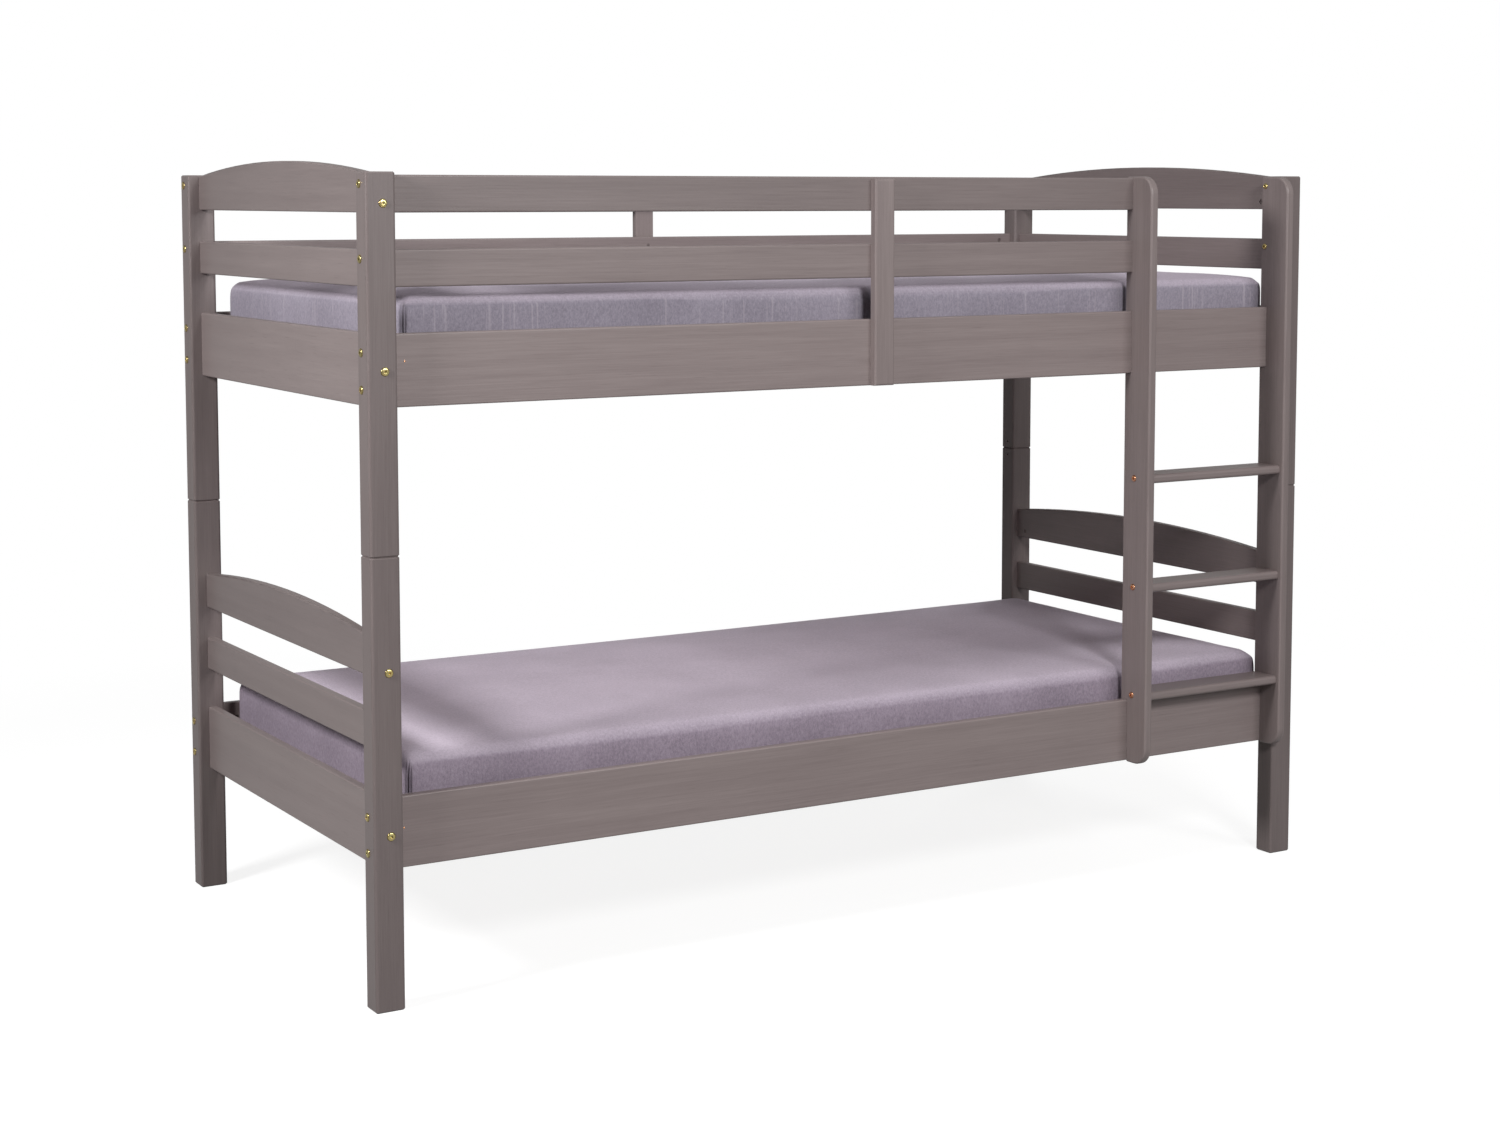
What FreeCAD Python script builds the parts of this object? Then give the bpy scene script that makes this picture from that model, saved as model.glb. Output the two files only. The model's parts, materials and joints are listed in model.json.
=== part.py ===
import FreeCAD, Part
import math
import os
import re
import Sketcher
from FreeCAD import Placement, Rotation, Vector

# A bunk bed of painted boards: two stacked bed frames, a guard rail, a bolted ladder and two mattresses.
# Millimetres. X runs along the bed, Y from the ladder side to the wall side, Z up from the floor.

# Driving sizes. Each has its own name and is written once.
SIZES = {
    # whole frame
    "bed_length": 2090,
    "bed_width": 970,
    "floor_clearance": 244,
    "bunk_rise": 797,
    "upper_leg": 252,
    "post_reveal": 5,
    # posts, the pins that join them and the small holes beside the joint
    "post_width": 54,
    "post_depth": 46,
    "post_edge_radius": 5,
    "post_end_chamfer": 2.5,
    "pin_diameter": 12,
    "pin_length": 60,
    "pin_play": 0.4,
    "lock_hole": 5,
    "lock_hole_depth": 14,
    "lock_hole_offset": 16,
    # rails
    "rail_thickness": 18,
    "side_rail_height": 126,
    "slim_rail_height": 64,
    "low_gap": 78,
    "high_gap": 62,
    "side_rail_setback": 20,
    "end_rail_setback": 22,
    "rail_edge_radius": 3,
    "arch_end_height": 67,
    "arch_rise": 25,
    # guard uprights
    "upright_width": 44,
    "upright_thickness": 16,
    "upright_drop": 4,
    "upright_edge_radius": 4,
    # ladder
    "stile_thickness": 18,
    "stile_depth": 76,
    "stile_drop": 2,
    "stile_foot_drop": 3,
    "stile_corner_radius": 35,
    "stile_edge_radius": 4,
    "ladder_clear_width": 344,
    "ladder_play": 0.3,
    "rung_thickness": 18,
    "rung_setback": 9,
    "rung_spacing": 223,
    "rung_foot_gap": 3,
    "rung_nose_radius": 7,
    "rung_back_radius": 3,
    # slats and the cleats that carry them
    "slat_count": 14,
    "slat_width": 70,
    "slat_thickness": 18,
    "slat_edge_radius": 2.5,
    "slat_end_gap": 35,
    "slat_side_play": 2,
    "cleat_height": 24,
    "cleat_thickness": 22,
    "cleat_lift": 14,
    "cleat_end_gap": 55,
    # mattresses
    "mattress_height": 132,
    "mattress_crown": 9,
    "mattress_end_gap": 17,
    "mattress_front_gap": 6,
    "mattress_back_gap": 30,
    "mattress_corner_radius": 30,
    "mattress_edge_radius": 20,
    "mattress_foot_radius": 14,
    "mattress_side_draw": 5,
    "mattress_play": 0.3,
    # connector bolts and barrel nuts
    "bolt_diameter": 6,
    "bolt_hole_play": 1,
    "bolt_head_diameter": 15,
    "bolt_head_height": 2,
    "bolt_head_chamfer": 1,
    "bolt_reach": 40,
    "bolt_tip_room": 2,
    "socket_width": 4,
    "socket_depth": 3,
    "nut_diameter": 10,
    "nut_length": 14,
    "nut_setback": 32,
    "nut_slot": 1.2,
    "fit_play": 0.2,
    "hole_room": 1,
    # sleeve nuts of the ladder
    "sleeve_head_diameter": 11,
    "sleeve_diameter": 9,
    "sleeve_length": 14,
    # rung bolts
    "rung_bolt_head": 12,
    "rung_bolt_head_height": 1.5,
    "rung_bolt_reach": 35,
    "rung_bolt_setback": 32,
    # dowels
    "dowel_diameter": 8,
    "dowel_length": 30,
    "dowel_chamfer": 1,
    # wood screws
    "screw_diameter": 4,
    "screw_head_diameter": 8,
    "screw_head_height": 2.5,
    "screw_point": 5,
    "screw_tip_diameter": 0.5,
    "screw_recess_width": 1,
    "screw_recess_span": 4.4,
    "screw_recess_depth": 1.6,
    "slat_screw_bite": 15,
    "cleat_screw_bite": 13,
    "cleat_screw_step": 3,
    "guard_screw_bite": 11,
    "guard_screw_drop": 18,
    "guard_screw_spacing": 28,
    # where the fasteners sit on the rails
    "side_bolt_inset": 31.5,
    "guard_bolt_drop": 15.5,
    "guard_dowel_lift": 15,
    "arch_bolt_lift": 16,
    "arch_dowel_lift": 33,
    "middle_dowel_lift": 14,
    "middle_dowel_spacing": 20,
    "end_dowel_inset": 15,
}

# Places and lengths that follow from the sizes. The zero point is on the floor, in the middle of the
# whole bed with its ladder in front and its upright or bolt heads behind.
PLACES = {
    "left_end": "-bed_length / 2",
    "right_end": "bed_length / 2",
    "left_post_inner": "left_end + post_width",
    "right_post_inner": "right_end - post_width",
    "left_end_rail": "left_end + end_rail_setback",
    "right_end_rail": "right_end - end_rail_setback - rail_thickness",
    "back_rail_setback": "post_depth - side_rail_setback - rail_thickness",
    "ladder_projection": "stile_depth - side_rail_setback - rail_thickness",
    "back_projection": "max(bolt_head_height; upright_thickness - back_rail_setback)",
    "frame_front": "(ladder_projection - bed_width - back_projection) / 2",
    "frame_back": "frame_front + bed_width",
    "back_post_front": "frame_back - post_depth",
    "front_rail": "frame_front + side_rail_setback",
    "back_rail": "back_post_front + side_rail_setback",
    "front_rail_inner": "front_rail + rail_thickness",
    "front_post_inner": "frame_front + post_depth",
    "side_rail_length": "bed_length - 2 * post_width",
    "end_rail_length": "bed_width - 2 * post_depth",
    "deck_length": "bed_length - 2 * (end_rail_setback + rail_thickness)",
    "deck_width": "back_rail - front_rail_inner",
    "lower_base": "floor_clearance",
    "upper_base": "floor_clearance + bunk_rise",
    "middle_rail_lift": "side_rail_height + low_gap",
    "top_rail_lift": "middle_rail_lift + slim_rail_height + high_gap",
    "guard_top": "upper_base + top_rail_lift + slim_rail_height",
    "post_joint": "upper_base - upper_leg",
    "post_top": "guard_top + post_reveal",
    "arch_radius": "(end_rail_length ^ 2 / 4 + arch_rise ^ 2) / (2 * arch_rise)",
    "upright_height": "guard_top - upright_drop - upper_base",
    "right_stile": "right_post_inner - ladder_play - stile_thickness",
    "left_stile": "right_stile - ladder_clear_width - stile_thickness",
    "left_stile_inner": "left_stile + stile_thickness",
    "stile_front": "front_rail_inner - stile_depth",
    "stile_bottom": "lower_base - stile_foot_drop",
    "stile_top": "post_top - stile_drop",
    "stile_notch": "rail_thickness + ladder_play",
    "upper_rail_top": "upper_base + side_rail_height",
    "lower_rail_top": "lower_base + side_rail_height",
    "first_rung": "lower_rail_top + rung_foot_gap",
    "rung_depth": "stile_depth - rung_setback",
    "rung_bolt_line": "front_rail_inner - rung_bolt_setback",
    "front_guard_length": "left_stile - left_post_inner",
    "slat_length": "deck_width - 2 * slat_side_play",
    "slat_pitch": "(deck_length - 2 * slat_end_gap - slat_width) / (slat_count - 1)",
    "first_slat": "slat_end_gap - deck_length / 2",
    "cleat_length": "deck_length - 2 * cleat_end_gap",
    "cleat_screw_count": "floor((slat_count - 2) / cleat_screw_step) + 1",
    "slat_lift": "cleat_lift + cleat_height",
    "mattress_lift": "slat_lift + slat_thickness + mattress_play",
    "mattress_length": "deck_length - 2 * mattress_end_gap",
    "mattress_width": "deck_width - mattress_front_gap - mattress_back_gap",
    "mattress_middle": "front_rail_inner + mattress_front_gap + mattress_width / 2",
    "bolt_hole": "bolt_diameter + bolt_hole_play",
    "bolt_hole_depth": "bolt_reach + bolt_tip_room",
    "bolt_thread_hole": "bolt_diameter + fit_play",
    "side_bolt_length": "post_width + bolt_reach",
    "end_bolt_length": "post_depth + bolt_reach",
    "ladder_guard_bolt_length": "stile_thickness + bolt_reach",
    "ladder_post_bolt_length": "post_width + ladder_play + sleeve_length",
    "rung_bolt_length": "stile_thickness + rung_bolt_reach",
    "nut_hole": "nut_diameter + fit_play",
    "nut_hole_depth": "(rail_thickness + nut_length) / 2",
    "sleeve_hole": "sleeve_diameter + fit_play",
    "dowel_hole": "dowel_diameter + fit_play",
    "dowel_hole_depth": "dowel_length / 2 + hole_room",
    "screw_hole": "screw_diameter + fit_play",
    "screw_sink": "screw_head_diameter + fit_play",
    "slat_screw_length": "slat_thickness + slat_screw_bite",
    "cleat_screw_length": "cleat_thickness + cleat_screw_bite",
    "guard_screw_length": "rail_thickness + guard_screw_bite",
}

SHEET_OF = {alias: "Sizes" for alias in SIZES}
SHEET_OF.update({alias: "Places" for alias in PLACES})
ALIAS = re.compile(r"[a-z]+(?:_[a-z]+)+")
AXES = {"x": Vector(1, 0, 0), "y": Vector(0, 1, 0), "z": Vector(0, 0, 1)}
OPPOSITE = {"+": "-", "-": "+"}

# Tolerances for picking edges and faces: a share of an edge's length or of a unit normal, and a distance.
NEARLY_ALL = 0.99
SAME_PLACE = 0.01

doc = FreeCAD.newDocument("bunk_bed")
corner_of = {}
fastener_places = {}


def formula(text):
    """Put the name of its sheet before each alias of a formula."""
    return ALIAS.sub(lambda found: f"{SHEET_OF[found.group()]}.{found.group()}", text)


def make_sheet(name, cells):
    """Write a sheet with one aliased cell in each row."""
    sheet = doc.addObject("Spreadsheet::Sheet", name)
    for row, (alias, content) in enumerate(cells.items(), start=1):
        sheet.set(f"A{row}", alias)
        sheet.set(f"B{row}", content)
        sheet.setAlias(f"B{row}", alias)
    return sheet


make_sheet("Sizes", {alias: str(size) for alias, size in SIZES.items()})
places_sheet = make_sheet("Places", {alias: "=" + formula(text) for alias, text in PLACES.items()})
doc.recompute()


def value(text):
    """Number that a formula gives."""
    return float(places_sheet.evalExpression(formula(text)))


def direction_of(signed_axis):
    """Unit vector of a signed axis such as +x."""
    return AXES[signed_axis[1]] * float(signed_axis[0] + "1")


def opposite(signed_axis):
    """The signed axis that points the other way."""
    return OPPOSITE[signed_axis[0]] + signed_axis[1]


def moved(point, signed_axis, distance):
    """Formulas of a point moved along a signed axis."""
    shifted = list(point)
    index = "xyz".index(signed_axis[1])
    shifted[index] = f"{shifted[index]} {signed_axis[0]} ({distance})"
    return tuple(shifted)


def bind_place(thing, point):
    """Bind the position of an object to three formulas."""
    for axis, text in zip("xyz", point):
        thing.setExpression(f"Placement.Base.{axis}", formula(text))


def bind_sizes(thing, **sizes):
    """Bind named sizes of an object to formulas."""
    for name, text in sizes.items():
        thing.setExpression(name, formula(text))


def new_body(label, corner):
    """Start a sub-part whose own zero point lies at a corner of the bed."""
    body = doc.addObject("PartDesign::Body", label)
    body.Label = label
    bind_place(body, corner)
    corner_of[label] = corner
    return body


def board(label, corner, size):
    """A straight board given by its lowest corner and its three sizes."""
    body = new_body(label, corner)
    block = body.newObject("PartDesign::AdditiveBox", f"{label}_board")
    bind_sizes(block, Length=size[0], Width=size[1], Height=size[2])
    doc.recompute()
    return body


def soften(body, radius, chosen):
    """Round the edges that a test picks."""
    doc.recompute()
    base = body.Tip
    edges = [f"Edge{number}" for number, edge in enumerate(base.Shape.Edges, start=1) if chosen(edge)]
    rounding = body.newObject("PartDesign::Fillet", f"{body.Label}_rounding")
    rounding.Base = (base, edges)
    bind_sizes(rounding, Radius=radius)
    doc.recompute()


def runs_along(axis):
    """Test for edges that run along an axis."""
    span = {"x": "XLength", "y": "YLength", "z": "ZLength"}[axis]
    return lambda edge: getattr(edge.BoundBox, span) > NEARLY_ALL * edge.Length


def chamfer_ends(body, size):
    """Bevel the edges round the top and bottom faces."""
    base = body.Tip
    ends = [f"Face{number}" for number, face in enumerate(base.Shape.Faces, start=1)
            if abs(face.normalAt(0, 0).z) > NEARLY_ALL]
    bevel = body.newObject("PartDesign::Chamfer", f"{body.Label}_bevel")
    bevel.Base = (base, ends)
    bind_sizes(bevel, Size=size)
    doc.recompute()


def local_point(body, point):
    """Formulas of a point of the bed, measured from a sub-part's own zero point."""
    return tuple(f"{place} - ({corner})" for place, corner in zip(point, corner_of[body.Label]))


def bore(body, signed_axis, diameter, depth, start):
    """Drill a round hole into a sub-part from a point of the bed."""
    hole = body.newObject("PartDesign::SubtractiveCylinder", f"{body.Label}_bore")
    hole.Placement = Placement(Vector(), Rotation(AXES["z"], direction_of(signed_axis)))
    bind_sizes(hole, Radius=f"({diameter}) / 2", Height=depth)
    hole.Refine = False
    bind_place(hole, local_point(body, start))
    return hole


def countersink(body, signed_axis, start):
    """Cut the conical seat of a wood screw's head."""
    sink = body.newObject("PartDesign::SubtractiveCone", f"{body.Label}_sink")
    sink.Placement = Placement(Vector(), Rotation(AXES["z"], direction_of(signed_axis)))
    bind_sizes(sink, Radius1="screw_sink / 2", Radius2="screw_hole / 2", Height="screw_head_height")
    bind_place(sink, local_point(body, start))
    return sink


def repeat_along_bed(body, features, span, count):
    """Repeat holes in a straight row along X."""
    row = body.newObject("PartDesign::LinearPattern", f"{body.Label}_row")
    row.Originals = features
    axis = next(part for part in body.Origin.OriginFeatures if part.Role == "X_Axis")
    row.Direction = (axis, [""])
    bind_sizes(row, Length=span, Occurrences=count)
    body.Tip = row
    doc.recompute()


def fasten(group, signed_axis, point, cross_axis=None):
    """Note where one fastener of a group sits and which way its shank points."""
    main = direction_of(signed_axis)
    if cross_axis:
        cross = direction_of(cross_axis)
        turn = Rotation(cross, main.cross(cross), main, "ZXY")
    else:
        turn = Rotation(AXES["z"], main)
    place = Placement(Vector(*(value(text) for text in point)), turn)
    fastener_places.setdefault(group, []).append(place)


# Posts

POST_X = {"left": "left_end", "right": "right_post_inner"}
POST_Y = {"front": "frame_front", "back": "back_post_front"}
POST_FOOT = {"lower": "0", "upper": "post_joint"}
POST_HEIGHT = {"lower": "post_joint", "upper": "post_top - post_joint"}
BASE = {"lower": "lower_base", "upper": "upper_base"}
OUTER_X = {"left": "left_end", "right": "right_end"}
INNER_X = {"left": "left_post_inner", "right": "right_post_inner"}
OUTER_Y = {"front": "frame_front", "back": "frame_back"}
INNER_Y = {"front": "front_post_inner", "back": "back_post_front"}
ALONG_BED = {"left": "+x", "right": "-x"}
ACROSS_BED = {"front": "+y", "back": "-y"}
SIDE_RAIL_Y = {"front": "front_rail", "back": "back_rail"}
END_RAIL_X = {"left": "left_end_rail", "right": "right_end_rail"}
CORNERS = [(depth, side) for depth in ("front", "back") for side in ("left", "right")]


def post(bunk, depth, side):
    """One post half: rounded along its length, bevelled at both ends, bored for the joint pin."""
    foot = POST_FOOT[bunk]
    body = board(f"{bunk}_{depth}_{side}_post", (POST_X[side], POST_Y[depth], foot),
                 ("post_width", "post_depth", POST_HEIGHT[bunk]))
    soften(body, "post_edge_radius", runs_along("z"))
    chamfer_ends(body, "post_end_chamfer")
    into = {"lower": "-z", "upper": "+z"}[bunk]
    middle = (f"{POST_X[side]} + post_width / 2", f"{POST_Y[depth]} + post_depth / 2", "post_joint")
    play = {"lower": "fit_play", "upper": "pin_play"}[bunk]
    bore(body, into, f"pin_diameter + {play}", "pin_length / 2 + hole_room", middle)
    lock = moved((INNER_X[side], middle[1], "post_joint"), into, "lock_hole_offset")
    bore(body, opposite(ALONG_BED[side]), "lock_hole", "lock_hole_depth", lock)
    if bunk == "lower":
        fasten("post_joint_pins", "+z", middle)
    return body


posts = {(bunk, *corner): post(bunk, *corner) for bunk in BASE for corner in CORNERS}


# Rails

def side_rail(bunk, depth):
    """Wide rail along the bed, from post to post."""
    body = board(f"{bunk}_{depth}_side_rail", ("left_post_inner", SIDE_RAIL_Y[depth], BASE[bunk]),
                 ("side_rail_length", "rail_thickness", "side_rail_height"))
    soften(body, "rail_edge_radius", runs_along("x"))
    return body


def guard_rail(depth, level):
    """Slim rail of the upper bunk's guard. The front ones stop at the ladder."""
    lift = {"top": "top_rail_lift", "lower": "middle_rail_lift"}[level]
    length = {"front": "front_guard_length", "back": "side_rail_length"}[depth]
    corner = ("left_post_inner", SIDE_RAIL_Y[depth], f"upper_base + {lift}")
    body = board(f"{depth}_guard_{level}_rail", corner, (length, "rail_thickness", "slim_rail_height"))
    soften(body, "rail_edge_radius", runs_along("x"))
    return body


def straight_end_rail(bunk, side, name, lift, height):
    """Straight rail across an end of the bed."""
    corner = (END_RAIL_X[side], "front_post_inner", f"{BASE[bunk]} + {lift}")
    body = board(f"{bunk}_{side}_{name}_rail", corner, ("rail_thickness", "end_rail_length", height))
    soften(body, "rail_edge_radius", runs_along("y"))
    return body


def end_sketch(body):
    """Sketch on the sub-part's own YZ plane."""
    sketch = body.newObject("Sketcher::SketchObject", f"{body.Label}_outline")
    plane = next(part for part in body.Origin.OriginFeatures if part.Role == "YZ_Plane")
    sketch.AttachmentSupport = (plane, [""])
    sketch.MapMode = "FlatFace"
    return sketch


def pad(body, sketch, thickness):
    """Give an outline its thickness along X."""
    solid = body.newObject("PartDesign::Pad", f"{body.Label}_pad")
    solid.Profile = sketch
    bind_sizes(solid, Length=thickness)
    doc.recompute()


def close_outline(sketch, line_count):
    """Join the lines end to end and hold the first point on the zero point."""
    for line in range(line_count):
        sketch.addConstraint(Sketcher.Constraint("Coincident", line, 2, (line + 1) % line_count, 1))
    sketch.addConstraint(Sketcher.Constraint("Coincident", 0, 1, -1, 1))


def dimension(sketch, constraint, text):
    """Add a dimension and bind it to a formula."""
    number = sketch.addConstraint(constraint)
    sketch.setExpression(f"Constraints[{number}]", formula(text))


def arched_rail(bunk, side):
    """Top rail of an end: level below, one shallow arc above."""
    body = new_body(f"{bunk}_{side}_arched_rail",
                    (END_RAIL_X[side], "front_post_inner", f"{BASE[bunk]} + top_rail_lift"))
    sketch = end_sketch(body)
    span = value("end_rail_length")
    height = value("arch_end_height")
    radius = value("arch_radius")
    centre = Vector(span / 2, height + value("arch_rise") - radius, 0)
    start = math.atan2(height - centre.y, span / 2)
    sketch.addGeometry(Part.LineSegment(Vector(0, 0, 0), Vector(span, 0, 0)))
    sketch.addGeometry(Part.LineSegment(Vector(span, 0, 0), Vector(span, height, 0)))
    sketch.addGeometry(Part.ArcOfCircle(Part.Circle(centre, AXES["z"], radius), start, math.pi - start))
    sketch.addGeometry(Part.LineSegment(Vector(0, height, 0), Vector(0, 0, 0)))
    close_outline(sketch, 4)
    sketch.addConstraint(Sketcher.Constraint("Horizontal", 0))
    sketch.addConstraint(Sketcher.Constraint("Vertical", 1))
    sketch.addConstraint(Sketcher.Constraint("Vertical", 3))
    sketch.addConstraint(Sketcher.Constraint("Equal", 1, 3))
    dimension(sketch, Sketcher.Constraint("DistanceX", 0, 1, 0, 2, span), "end_rail_length")
    dimension(sketch, Sketcher.Constraint("DistanceY", 1, 1, 1, 2, height), "arch_end_height")
    dimension(sketch, Sketcher.Constraint("Radius", 2, radius), "arch_radius")
    pad(body, sketch, "rail_thickness")
    soften(body, "rail_edge_radius", lambda edge: edge.BoundBox.YLength > NEARLY_ALL * span)
    return body


side_rails = {(bunk, depth): side_rail(bunk, depth) for bunk in BASE for depth in POST_Y}
guard_rails = {(depth, level): guard_rail(depth, level) for depth in POST_Y for level in ("top", "lower")}
end_rails = {}
for bunk in BASE:
    for side in POST_X:
        end_rails[bunk, side, "arched"] = arched_rail(bunk, side)
        end_rails[bunk, side, "middle"] = straight_end_rail(bunk, side, "middle", "middle_rail_lift",
                                                            "slim_rail_height")
        end_rails[bunk, side, "end"] = straight_end_rail(bunk, side, "end", "0", "side_rail_height")


# Ladder

STEP_WAY = {"up": AXES["y"], "down": -AXES["y"], "back": AXES["x"], "front": -AXES["x"]}


def stepped_outline(sketch, steps):
    """Closed outline of level and upright lines. The last two lines follow from the others."""
    points = [Vector()]
    for way, length in steps:
        points.append(points[-1] + STEP_WAY[way] * value(length))
    for start, end in zip(points, points[1:] + points[:1]):
        sketch.addGeometry(Part.LineSegment(start, end))
    close_outline(sketch, len(points))
    for line in range(len(points)):
        sketch.addConstraint(Sketcher.Constraint("Vertical" if line % 2 == 0 else "Horizontal", line))
    for line, (way, length) in enumerate(steps[:-1]):
        kind = "DistanceY" if way in ("up", "down") else "DistanceX"
        first, second = (1, 2) if way in ("up", "back") else (2, 1)
        dimension(sketch, Sketcher.Constraint(kind, line, first, line, second, value(length)), length)


def stile(side):
    """Ladder stile: a notch for the upper side rail, an open one at the foot, two rounded front corners."""
    body = new_body(f"ladder_{side}_stile", (f"{side}_stile", "stile_front", "stile_bottom"))
    sketch = end_sketch(body)
    stepped_outline(sketch, [
        ("up", "stile_top - stile_bottom"),
        ("back", "stile_depth"),
        ("down", "stile_top - upper_rail_top - ladder_play"),
        ("front", "stile_notch"),
        ("down", "side_rail_height + 2 * ladder_play"),
        ("back", "stile_notch"),
        ("down", "upper_base - lower_rail_top - 2 * ladder_play"),
        ("front", "stile_notch"),
        ("down", "lower_rail_top + ladder_play - stile_bottom"),
    ])
    pad(body, sketch, "stile_thickness")
    across = runs_along("x")
    soften(body, "stile_corner_radius", lambda edge: across(edge) and edge.CenterOfMass.y < SAME_PLACE)
    notch_face = value("stile_depth - stile_notch") - SAME_PLACE
    soften(body, "stile_edge_radius", lambda edge: not across(edge) and edge.CenterOfMass.y < notch_face)
    return body


def rung(name, number):
    """Flat step between the stiles with a rounded nose."""
    corner = ("left_stile_inner", "stile_front + rung_setback", f"first_rung + {number} * rung_spacing")
    body = board(f"ladder_{name}_rung", corner, ("ladder_clear_width", "rung_depth", "rung_thickness"))
    lengthwise = runs_along("x")
    soften(body, "rung_nose_radius", lambda edge: lengthwise(edge) and edge.CenterOfMass.y < SAME_PLACE)
    far = value("rung_depth") - SAME_PLACE
    soften(body, "rung_back_radius", lambda edge: lengthwise(edge) and edge.CenterOfMass.y > far)
    return body


stiles = {side: stile(side) for side in ("left", "right")}
rungs = [rung(name, number) for number, name in enumerate(("bottom", "middle", "top"))]


# Guard uprights

def upright(depth):
    """Short board on the outside of the guard that ties its rails to the side rail."""
    outside = {"front": "front_rail - upright_thickness", "back": "back_rail + rail_thickness"}[depth]
    body = board(f"{depth}_guard_upright", ("-upright_width / 2", outside, "upper_base"),
                 ("upright_width", "upright_thickness", "upright_height"))
    outer_face = {"front": 0, "back": value("upright_thickness")}[depth]
    soften(body, "upright_edge_radius", lambda edge: abs(edge.CenterOfMass.y - outer_face) < SAME_PLACE)
    return body


uprights = {depth: upright(depth) for depth in POST_Y}


# Slats and cleats

def cleat(bunk, depth):
    """Batten on the inside of a side rail, drilled for the slat screws and for its own."""
    inside = {"front": "front_rail_inner", "back": "back_rail - cleat_thickness"}[depth]
    low = f"{BASE[bunk]} + cleat_lift"
    body = board(f"{bunk}_{depth}_slat_cleat", ("-cleat_length / 2", inside, low),
                 ("cleat_length", "cleat_thickness", "cleat_height"))
    middle = f"{inside} + cleat_thickness / 2"
    slat_hole = bore(body, "-z", "screw_hole", "slat_screw_bite + hole_room",
                     ("first_slat + slat_width / 2", middle, f"{low} + cleat_height"))
    repeat_along_bed(body, [slat_hole], "slat_pitch * (slat_count - 1)", "slat_count")
    to_rail = {"front": "-y", "back": "+y"}[depth]
    rail_face = {"front": "front_rail_inner", "back": "back_rail"}[depth]
    first = "first_slat + slat_width / 2 + slat_pitch / 2"
    head = moved((first, rail_face, f"{low} + cleat_height / 2"), opposite(to_rail), "cleat_thickness")
    row_length = "slat_pitch * cleat_screw_step * (cleat_screw_count - 1)"
    through = bore(body, to_rail, "screw_hole", "cleat_thickness", head)
    sink = countersink(body, to_rail, head)
    repeat_along_bed(body, [through, sink], row_length, "cleat_screw_count")
    rail = side_rails[bunk, depth]
    seat = moved(head, to_rail, "cleat_thickness")
    pilot = bore(rail, to_rail, "screw_hole", "cleat_screw_bite + hole_room", seat)
    repeat_along_bed(rail, [pilot], row_length, "cleat_screw_count")
    for number in range(round(value("cleat_screw_count"))):
        step = f"{number} * cleat_screw_step * slat_pitch"
        fasten(f"{bunk}_cleat_screws", to_rail, moved(head, "+x", step))
    for number in range(round(value("slat_count"))):
        slat_middle = f"first_slat + slat_width / 2 + {number} * slat_pitch"
        slat_top = f"{low} + cleat_height + slat_thickness"
        fasten(f"{bunk}_slat_screws", "-z", (slat_middle, middle, slat_top))
    return body


def slat_model():
    """One slat with a screw hole over each cleat, placed where the first upper slat lies."""
    low = "upper_base + slat_lift"
    body = board("slat_model", ("first_slat", "front_rail_inner + slat_side_play", low),
                 ("slat_width", "slat_length", "slat_thickness"))
    soften(body, "slat_edge_radius", runs_along("y"))
    for line in ("front_rail_inner + cleat_thickness / 2", "back_rail - cleat_thickness / 2"):
        head = ("first_slat + slat_width / 2", line, f"{low} + slat_thickness")
        bore(body, "-z", "screw_hole", "slat_thickness", head)
        countersink(body, "-z", head)
    doc.recompute()
    return body


cleats = {(bunk, depth): cleat(bunk, depth) for bunk in BASE for depth in POST_Y}
slat = slat_model()


# Bolts, barrel nuts and dowels

def bolt_joint(bolts, nuts, signed_axis, head, depth, frame_piece, rail, nut_axis):
    """Connector bolt through one piece into a rail's end, and the barrel nut that it draws on."""
    bore(frame_piece, signed_axis, "bolt_hole", depth, head)
    rail_end = moved(head, signed_axis, depth)
    bore(rail, signed_axis, "bolt_hole", "bolt_hole_depth", rail_end)
    nut_middle = moved(rail_end, signed_axis, "nut_setback")
    mouth = moved(nut_middle, opposite(nut_axis), "rail_thickness / 2")
    bore(rail, nut_axis, "nut_hole", "nut_hole_depth", mouth)
    fasten(bolts, signed_axis, head)
    fasten(nuts, nut_axis, nut_middle, signed_axis)


def dowel_joint(group, signed_axis, seam, frame_piece, rail):
    """Wooden dowel, half in a post and half in a rail's end."""
    bore(frame_piece, opposite(signed_axis), "dowel_hole", "dowel_hole_depth", seam)
    bore(rail, signed_axis, "dowel_hole", "dowel_hole_depth", seam)
    fasten(group, signed_axis, seam)


def join_end_rails(bunk, side, depth):
    """Fix one end of the arched, middle and end rails to a post."""
    way = ACROSS_BED[depth]
    line = f"{END_RAIL_X[side]} + rail_thickness / 2"
    piece = posts[bunk, depth, side]
    inward = opposite(ALONG_BED[side])
    base = BASE[bunk]
    arched = end_rails[bunk, side, "arched"]
    middle = end_rails[bunk, side, "middle"]
    wide = end_rails[bunk, side, "end"]
    for rail, height in ((arched, "top_rail_lift + arch_bolt_lift"), (wide, "side_rail_height / 2")):
        head = (line, OUTER_Y[depth], f"{base} + {height}")
        bolt_joint(f"{bunk}_end_rail_bolts", f"{bunk}_barrel_nuts", way, head, "post_depth",
                   piece, rail, inward)
    dowels = [(arched, "top_rail_lift + arch_dowel_lift"),
              (middle, "middle_rail_lift + middle_dowel_lift"),
              (middle, "middle_rail_lift + middle_dowel_lift + middle_dowel_spacing"),
              (wide, "end_dowel_inset"),
              (wide, "side_rail_height - end_dowel_inset")]
    for rail, height in dowels:
        dowel_joint(f"{bunk}_dowels", way, (line, INNER_Y[depth], f"{base} + {height}"), piece, rail)


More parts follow.
